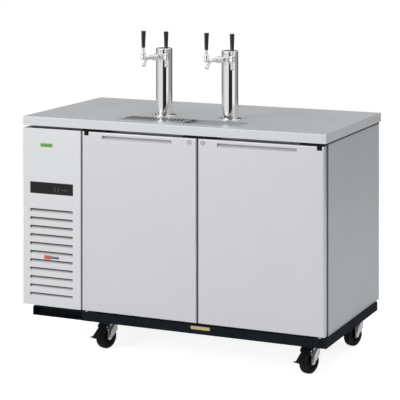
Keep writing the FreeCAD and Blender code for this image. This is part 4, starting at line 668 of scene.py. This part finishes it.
# --------------------------------------------------------------------------- casters
TREAD_PROFILE = [
    (31, -15), (38, -15.6), (44, -16), (46.5, -15.6), (48.6, -13.5), (49.6, -10.5), (49.9, -7),
    (49.2, -6.6), (49.2, -5.4), (50, -5), (50, 5), (49.2, 5.4), (49.2, 6.6), (49.9, 7), (49.6, 10.5),
    (48.6, 13.5), (46.5, 15.6), (44, 16), (38, 15.6), (31, 15), (30, 10), (30, -10), (31, -15),
]
HUB_PROFILE = [
    (30.2, -9), (30.2, 9), (26, 8.6), (18, 6.5), (15, 7.5), (14, 12), (13.4, 17), (12, 18), (6.2, 18),
    (6.2, -18), (12, -18), (13.4, -17), (14, -12), (15, -7.5), (18, -6.5), (26, -8.6), (30.2, -9),
]
SPOKES = 6
SPOKE = (14, -1.6, -9.5), (29, 1.6, 9.5)
HEX_PROFILE = [(0, 30), (7.4, 30), (8.4, 29.2), (8.4, 24.8), (0, 24.8)]
AXLE_WASHER_PROFILE = [(0, 25), (10.2, 25), (10.4, 24.6), (10.2, 23.2), (0, 23.2)]
# Outline of a dark sheet that paints the shade in the pressed web of a fork leg, as (forward of the
# swivel, height above the floor)
WEB_OUTLINE = [(17, 106), (37, 99), (37, 62), (28, 62), (24, 78), (2, 106)]
WEB_FACES = (23.0, 24.7)
AXLE_HEIGHT = 50
AXLE_FORWARD = 32


def build_wheels():
    """A ribbed tread and a spoked hub on each wheel."""
    for corner in CORNERS:
        centre = joint_matrix(f"caster_{corner}_roll") @ X_AXIS
        tread = bmesh.new()
        revolved(tread, TREAD_PROFILE, centre, segments=72)
        revolved(tread, HUB_PROFILE, centre, segments=72)
        for index in range(SPOKES):
            block(tread, *SPOKE, centre @ turned(360 / SPOKES * index, "Z"), bevel=0.6)
        replaced = [f"caster_wheel_{corner}"]
        piece(f"tyre_{corner}", tread, f"wheel_{corner}", "caster_rubber", replaced)


def build_axle_nuts():
    """A hex head or nut and a washer at each end of every axle."""
    for corner in CORNERS:
        centre = joint_matrix(f"caster_{corner}_roll") @ X_AXIS
        nuts = bmesh.new()
        for end in (centre, centre @ turned(180.0, "X")):
            revolved(nuts, HEX_PROFILE, end, segments=6)
            revolved(nuts, AXLE_WASHER_PROFILE, end, segments=32)
        piece(f"axle_nuts_{corner}", nuts, f"fork_{corner}", "caster_zinc")


def build_fork_web_shade():
    """A dark sheet over the sunk middle of each fork leg: painted shade, darker than the bright rim
    around it.
    """
    for corner in CORNERS:
        place = joint_matrix(f"caster_{corner}_roll") @ moved(0.0, 0.0, -AXLE_HEIGHT * MM)
        webs = bmesh.new()
        for side in (1, -1):
            near, far = (
                [
                    webs.verts.new(place @ (Vector((side * x, AXLE_FORWARD - forward, height)) * MM))
                    for forward, height in WEB_OUTLINE
                ]
                for x in WEB_FACES
            )
            webs.faces.new(near)
            webs.faces.new(far)
            joined(webs, near, far)
        piece(f"fork_web_shade_{corner}", webs, f"fork_{corner}", "caster_zinc", finish="web_shade")


# --------------------------------------------------------------------------- small fittings
HINGE_WASHER_PROFILE = [(0, 0), (10.3, 0), (10.6, 0.3), (10.6, 2.2), (10.3, 2.6), (0, 2.6)]
HINGE_GAP = 3
FLANGE_SCREW_CIRCLE = 46
FLANGE_SCREW_ANGLES = (90.0, 210.0, 330.0)
FLANGE_SCREW_RADIUS, FLANGE_SCREW_HEIGHT = 4.6, 2.2
# Blank labels on the front panel: left, bottom, right and top, and finish
LABELS = [
    ((-654, 905, -592, 921), "label_green"),
    ((-634, 392, -598, 410), "label_red"),
    ((-598, 396, -557, 407), "label_grey"),
]
# Black mat behind the louvres, which paints the shade seen through their slits: its setback, margin and
# top in millimetres, and its wires
BACKING_SETBACK, BACKING_MARGIN, BACKING_TOP = 18, 14, 650
BACKING_WIRES = 9


def build_hinge_washers():
    """Bright washers between the lower hinge brackets and the doors."""
    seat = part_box("door_left_skin")[0][2] - HINGE_GAP * MM
    for side in SIDES:
        axis = joint(f"door_{side}_hinge")["pos_m"]
        washer = bmesh.new()
        revolved(washer, HINGE_WASHER_PROFILE, moved(axis[0], axis[1], seat))
        piece(f"hinge_washer_{side}", washer, "cabinet", "bracket_black", finish="screw_steel")


def screw_head(bm, radius, height, matrix):
    """Add a domed head with a raised cross, standing along local Z of the matrix."""
    profile = [(radius, 0), (radius, 0.25 * height), (0.86 * radius, 0.62 * height)]
    profile += [(0.55 * radius, 0.9 * height), (0.3 * radius, height), (0, height)]
    revolved(bm, profile, matrix, segments=20)
    half_long, half_wide = 0.52 * radius, 0.09 * radius
    for angle in (0.0, 90.0):
        low = (-half_long, -half_wide, 0.9 * height)
        high = (half_long, half_wide, 1.06 * height)
        block(bm, low, high, matrix @ turned(angle, "Z"))


def build_flange_screws():
    """Raised screws in the tower flanges, in place of the plain cones."""
    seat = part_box("flange_screws")[1][2] - FLANGE_SCREW_HEIGHT * MM
    heads = bmesh.new()
    for side in SIDES:
        foot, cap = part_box(f"tower_{side}")
        centre = (foot + cap) / 2
        for angle in FLANGE_SCREW_ANGLES:
            turn = turned(angle, "Z") @ moved(FLANGE_SCREW_CIRCLE * MM, 0.0, 0.0)
            place = moved(centre.x, centre.y, seat) @ turn
            screw_head(heads, FLANGE_SCREW_RADIUS, FLANGE_SCREW_HEIGHT, place)
    piece("flange_screw_heads", heads, "cabinet", "screw_steel", ["flange_screws"])


def build_labels():
    """Blank labels: a green one at the top of the front panel and a two-tone one on the louvres."""
    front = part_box("grille_panel")[0][1] / MM
    for (left, bottom, right, top), finish in LABELS:
        plate = bmesh.new()
        block(plate, (left, front - 0.8, bottom), (right, front + 0.1, top), bevel=0.35)
        piece(finish, plate, "cabinet", "panel_steel", finish=finish)


def build_louvre_shade_backing():
    """Black mat in a wire frame close behind the louvres: painted shade, so that the slits between the
    louvres read dark.
    """
    low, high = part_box("grille_panel")
    front = low[1] / MM + BACKING_SETBACK
    left, right = low[0] / MM + BACKING_MARGIN, high[0] / MM - BACKING_MARGIN
    bottom = low[2] / MM + BACKING_MARGIN
    bars = bmesh.new()
    block(bars, (left, front + 2, bottom), (right, front + 8, BACKING_TOP), bevel=1.5)
    for step in range(BACKING_WIRES):
        z = bottom + (BACKING_TOP - bottom) * (step + 0.5) / BACKING_WIRES
        block(bars, (left, front, z - 1), (right, front + 2.5, z + 1))
    piece("louvre_shade_backing", bars, "cabinet", "shroud_steel", finish="seal_rubber")


# Seven bars of a digit, as (x, z, width, height) from its middle
DIGIT_BARS = [
    (0, 9, 7, 1.4), (0, 0, 7, 1.4), (0, -9, 7, 1.4),
    (-5, 4.5, 1.4, 7), (5, 4.5, 1.4, 7), (-5, -4.5, 1.4, 7), (5, -4.5, 1.4, 7),
]
DIGIT_PLACES = (-580, -560)
LAMP_PLACES = (-540, -529, -518)
LAMP_PROFILE = [(0, 0.4), (2.6, 0.4), (3, 0), (0, 0)]
MARKS_BELOW_MIDDLE = 4


def build_display_marks():
    """Faint generic marks on the display: two idle digits of seven bars each and three round lamps."""
    low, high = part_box("control_display")
    front = low[1] / MM
    line = (low[2] + high[2]) / 2 / MM - MARKS_BELOW_MIDDLE
    marks = bmesh.new()
    for start in DIGIT_PLACES:
        for x, z, wide, tall in DIGIT_BARS:
            left, bottom = start + x - wide / 2, line + z - tall / 2
            block(marks, (left, front - 0.3, bottom), (left + wide, front + 0.1, bottom + tall))
    for x in LAMP_PLACES:
        lamp = moved(x * MM, (front + 0.1) * MM, line * MM) @ Y_AXIS.inverted()
        revolved(marks, LAMP_PROFILE, lamp, segments=20)
    piece("display_marks", marks, "cabinet", "display_black", finish="display_mark")


# --------------------------------------------------------------------------- back and inside
BACK_SCREW_RADIUS = 4.5
GRILLE_SCREW_HEIGHT, SHELL_SCREW_HEIGHT = 2.2, 1.6
GRILLE_SCREW_ROWS = 4
GRILLE_SCREW_SIDE, GRILLE_SCREW_END = 14, 20
SHELL_SCREW_PLACES = (-400, 150, 700)
SHELL_SCREW_END = 30
RATING_PLATE = (-380, 820), (-270, 890)
GUARD_RADII = (20, 36, 52, 68, 84, 97)
GUARD_WIRE = 1.3
GUARD_SPOKES = 6
SPOKE_PATH = [(18, 0, -1.8), (60, 0, -1.8), (99, 0, -1.8)]
# Degrees between the points of a ring
RING_STEP = 10
SEAM_PROFILE = [(86, 300), (91, 301), (92, 304), (91, 307), (86, 308), (86, 300)]
TERMINAL_COVER = (-34, -104, 240), (34, -80, 300)
COPPER_RADIUS = 4.2
# From the compressor's middle: over the shroud to the condenser, and up to the evaporator
DISCHARGE_LINE = [
    (40, -60, 250), (40, -130, 262), (44, -160, 330), (44, -176, 520), (44, -230, 612),
    (44, -330, 618), (44, -381, 606), (44, -381, 592),
]
SUCTION_LINE = [(-40, 60, 250), (-40, 100, 260), (-100, 110, 300), (-120, 110, 500), (-120, 90, 700)]


def build_rear_details():
    """Screws round the rear grille and on the cabinet's back, and a blank rating plate."""
    low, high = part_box("rear_grille")
    shell_low, shell_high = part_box("outer_shell")
    screws = bmesh.new()
    pitch = (high[2] - low[2] - 2 * GRILLE_SCREW_END * MM) / (GRILLE_SCREW_ROWS - 1)
    for x in (low[0] + GRILLE_SCREW_SIDE * MM, high[0] - GRILLE_SCREW_SIDE * MM):
        for step in range(GRILLE_SCREW_ROWS):
            z = low[2] + GRILLE_SCREW_END * MM + step * pitch
            screw_head(screws, BACK_SCREW_RADIUS, GRILLE_SCREW_HEIGHT, moved(x, high[1], z) @ Y_AXIS)
    for x in SHELL_SCREW_PLACES:
        for z in (shell_low[2] + SHELL_SCREW_END * MM, shell_high[2] - SHELL_SCREW_END * MM):
            place = moved(x * MM, shell_high[1], z) @ Y_AXIS
            screw_head(screws, BACK_SCREW_RADIUS, SHELL_SCREW_HEIGHT, place)
    piece("rear_screws", screws, "cabinet", "screw_steel")
    (left, bottom), (right, top) = RATING_PLATE
    back = shell_high[1] / MM
    plate = bmesh.new()
    block(plate, (left, back - 0.1, bottom), (right, back + 0.6, top), bevel=0.3)
    piece("rating_plate_blank", plate, "cabinet", "frame_steel", finish="label_silver")


def build_evaporator_guard():
    """Wire guard of rings and spokes over the evaporator fan's mouth."""
    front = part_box("evaporator_cover")[1][0]
    pivot = joint("evaporator_fan_spin")["pos_m"]
    centre = moved(front + 3 * MM, pivot[1], pivot[2]) @ X_AXIS
    guard = bmesh.new()
    for radius in GUARD_RADII:
        angles = [math.radians(angle) for angle in range(0, 361, RING_STEP)]
        ring = [(radius * math.cos(angle), radius * math.sin(angle), 0) for angle in angles]
        swept(guard, ring, GUARD_WIRE, centre, segments=8)
    for index in range(GUARD_SPOKES):
        place = centre @ turned(360 / GUARD_SPOKES * index, "Z")
        swept(guard, SPOKE_PATH, GUARD_WIRE, place, segments=8)
    piece("evaporator_guard", guard, "cabinet", "evaporator_plastic", finish="fan_black")


def build_compressor_details():
    """Weld seam, terminal cover and copper lines of the compressor."""
    low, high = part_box("compressor")
    centre = moved((low[0] + high[0]) / 2, (low[1] + high[1]) / 2, 0.0)
    seam = bmesh.new()
    revolved(seam, SEAM_PROFILE, centre, segments=72)
    block(seam, *TERMINAL_COVER, centre, bevel=4)
    piece("compressor_seam", seam, "cabinet", "compressor_black")
    lines = bmesh.new()
    for line in (DISCHARGE_LINE, SUCTION_LINE):
        swept(lines, rounded(line), COPPER_RADIUS, centre, segments=12)
    piece("refrigerant_lines", lines, "cabinet", "compressor_black", finish="copper")


# --------------------------------------------------------------------------- stage
FLOOR_HALF = 3.2
# Glow of the floor, as lit on the object and as seen by the camera
FLOOR_GLOW, FLOOR_GLOW_SEEN = 0.25, 0.8
FLOOR_GREY = 0.55
CAMERA_AZIMUTH = math.radians(-64.1)
# (bearing in degrees from the camera's side of the object, clockwise seen by the viewer; brightness)
SURROUNDINGS = [
    (-180, 0.12), (-135, 0.16), (-122, 0.5), (-95, 0.55), (-80, 0.85), (-24, 0.85), (-16, 0.02),
    (29, 0.02), (35, 1.0), (66, 1.0), (74, 0.36), (114, 0.30), (124, 0.10), (180, 0.12),
]
# Heights, as the upward part of a direction, where the panels fade into the white ceiling
PANELS_END, CEILING_START = 0.3, 0.6
WHITE = (1.0, 1.0, 1.0, 1.0)


def grey(level):
    return (level, level, level)


def floor():
    """Pale sheet under the object; it glows a little, so that shadows on it stay soft and faint."""
    sheet = bpy.data.meshes.new("floor")
    corners = [(x * FLOOR_HALF, y * FLOOR_HALF, 0.0) for x, y in ((-1, -1), (1, -1), (1, 1), (-1, 1))]
    sheet.from_pydata(corners, [], [(0, 1, 2, 3)])
    item = bpy.data.objects.new("floor", sheet)
    bpy.context.scene.collection.objects.link(item)
    finish = Finish(grey(FLOOR_GREY), roughness=0.8)
    finish.material.name = "floor_white"
    clouds = finish.ranged(finish.noise(scale=0.6), 0.0, 1.0)
    finish.colour(finish.blend(clouds, grey(FLOOR_GREY - 0.02), grey(FLOOR_GREY + 0.01)))
    seen = finish.add("ShaderNodeLightPath", "Is Camera Ray")
    glow = finish.ranged(seen, FLOOR_GLOW, FLOOR_GLOW_SEEN, from_low=0.0, from_high=1.0)
    finish.more(Emission_Color=WHITE, Emission_Strength=glow)
    sheet.materials.append(finish.material)


def world():
    """White to the camera; panels of light and shade all round and a white ceiling to everything else."""
    surroundings = bpy.data.worlds.new("studio")
    bpy.context.scene.world = surroundings
    surroundings.use_nodes = True
    tree = surroundings.node_tree
    background = tree.nodes["Background"]

    def add(kind, inputs=None):
        """Add a node; inputs maps a socket's number to a value or another node's output."""
        item = tree.nodes.new(kind)
        for number, value in (inputs or {}).items():
            if isinstance(value, bpy.types.NodeSocket):
                tree.links.new(value, item.inputs[number])
            else:
                item.inputs[number].default_value = value
        return item

    def whitened(factor, colour):
        """Mix a colour with white."""
        mix = add("ShaderNodeMix", {0: factor})
        mix.data_type = "RGBA"
        first, second = [socket for socket in mix.inputs if socket.type == "RGBA"]
        tree.links.new(colour, first)
        second.default_value = WHITE
        return next(socket for socket in mix.outputs if socket.type == "RGBA")

    direction = add("ShaderNodeTexCoord").outputs["Generated"]
    parts = add("ShaderNodeSeparateXYZ", {0: direction}).outputs
    rotated = add("ShaderNodeVectorRotate", {0: direction, 3: -CAMERA_AZIMUTH})
    bearing = add("ShaderNodeTexGradient", {0: rotated.outputs[0]})
    bearing.gradient_type = "RADIAL"
    panels = add("ShaderNodeValToRGB", {0: bearing.outputs["Fac"]})
    stops = panels.color_ramp.elements
    for index, (degrees, brightness) in enumerate(SURROUNDINGS):
        stop = stops[index] if index < 2 else stops.new(1.0)
        stop.position = degrees / 360 + 0.5
        stop.color = (*grey(brightness), 1.0)
    height = add("ShaderNodeMapRange", {0: parts["Z"], 1: PANELS_END, 2: CEILING_START})
    room = whitened(height.outputs[0], panels.outputs["Color"])
    camera_ray = add("ShaderNodeLightPath").outputs["Is Camera Ray"]
    tree.links.new(whitened(camera_ray, room), background.inputs["Color"])
    background.inputs["Strength"].default_value = 1.0


KEY_LIGHT = {"place": (-3.0, -5.5, 3.0), "target": (0.0, 0.0, 0.6), "side": 3.0, "power": 90.0}


def soft_light(name, place, target, side, power):
    """A square area light at a place, aimed at a target."""
    light = bpy.data.lights.new(name, "AREA")
    light.shape = "RECTANGLE"
    light.size, light.size_y, light.energy = side, side, power
    item = bpy.data.objects.new(name, light)
    item.location = place
    item.rotation_euler = (Vector(target) - Vector(place)).to_track_quat("-Z", "Y").to_euler()
    bpy.context.scene.collection.objects.link(item)


CAMERA_PLACE = (3.0482, -6.2891, 2.026)
CAMERA_YAW = math.radians(21.81)
CAMERA_LENS = 135.36
CAMERA_SHIFT = {"shift_x": -0.2740, "shift_y": -0.7457}


def camera():
    """Level view with a shifted lens; the shift follows the rotation mode, so other views have none."""
    data = bpy.data.cameras.new("camera")
    data.sensor_width = 36.0
    data.lens = CAMERA_LENS
    item = bpy.data.objects.new("camera", data)
    item.rotation_mode = "XYZ"
    item.location = CAMERA_PLACE
    item.rotation_euler = (math.radians(90.0), 0.0, CAMERA_YAW)
    bpy.context.scene.collection.objects.link(item)
    bpy.context.scene.camera = item
    for name, amount in CAMERA_SHIFT.items():
        curve = data.driver_add(name)
        curve.driver.type = "SUM"
        variable = curve.driver.variables.new()
        variable.type = "SINGLE_PROP"
        variable.targets[0].id = item
        variable.targets[0].data_path = "rotation_mode"
        slope = curve.modifiers[0] if curve.modifiers else curve.modifiers.new("GENERATOR")
        slope.coefficients = (0.0, amount)


dress_cad_nodes()
build_taps()
build_door_seals()
build_locks()
build_door_liners()
build_wheels()
build_axle_nuts()
build_fork_web_shade()
build_hinge_washers()
build_flange_screws()
build_labels()
build_louvre_shade_backing()
build_display_marks()
build_rear_details()
build_evaporator_guard()
build_compressor_details()
floor()
world()
camera()
soft_light("key", **KEY_LIGHT)
bpy.context.scene.view_settings.view_transform = "Standard"
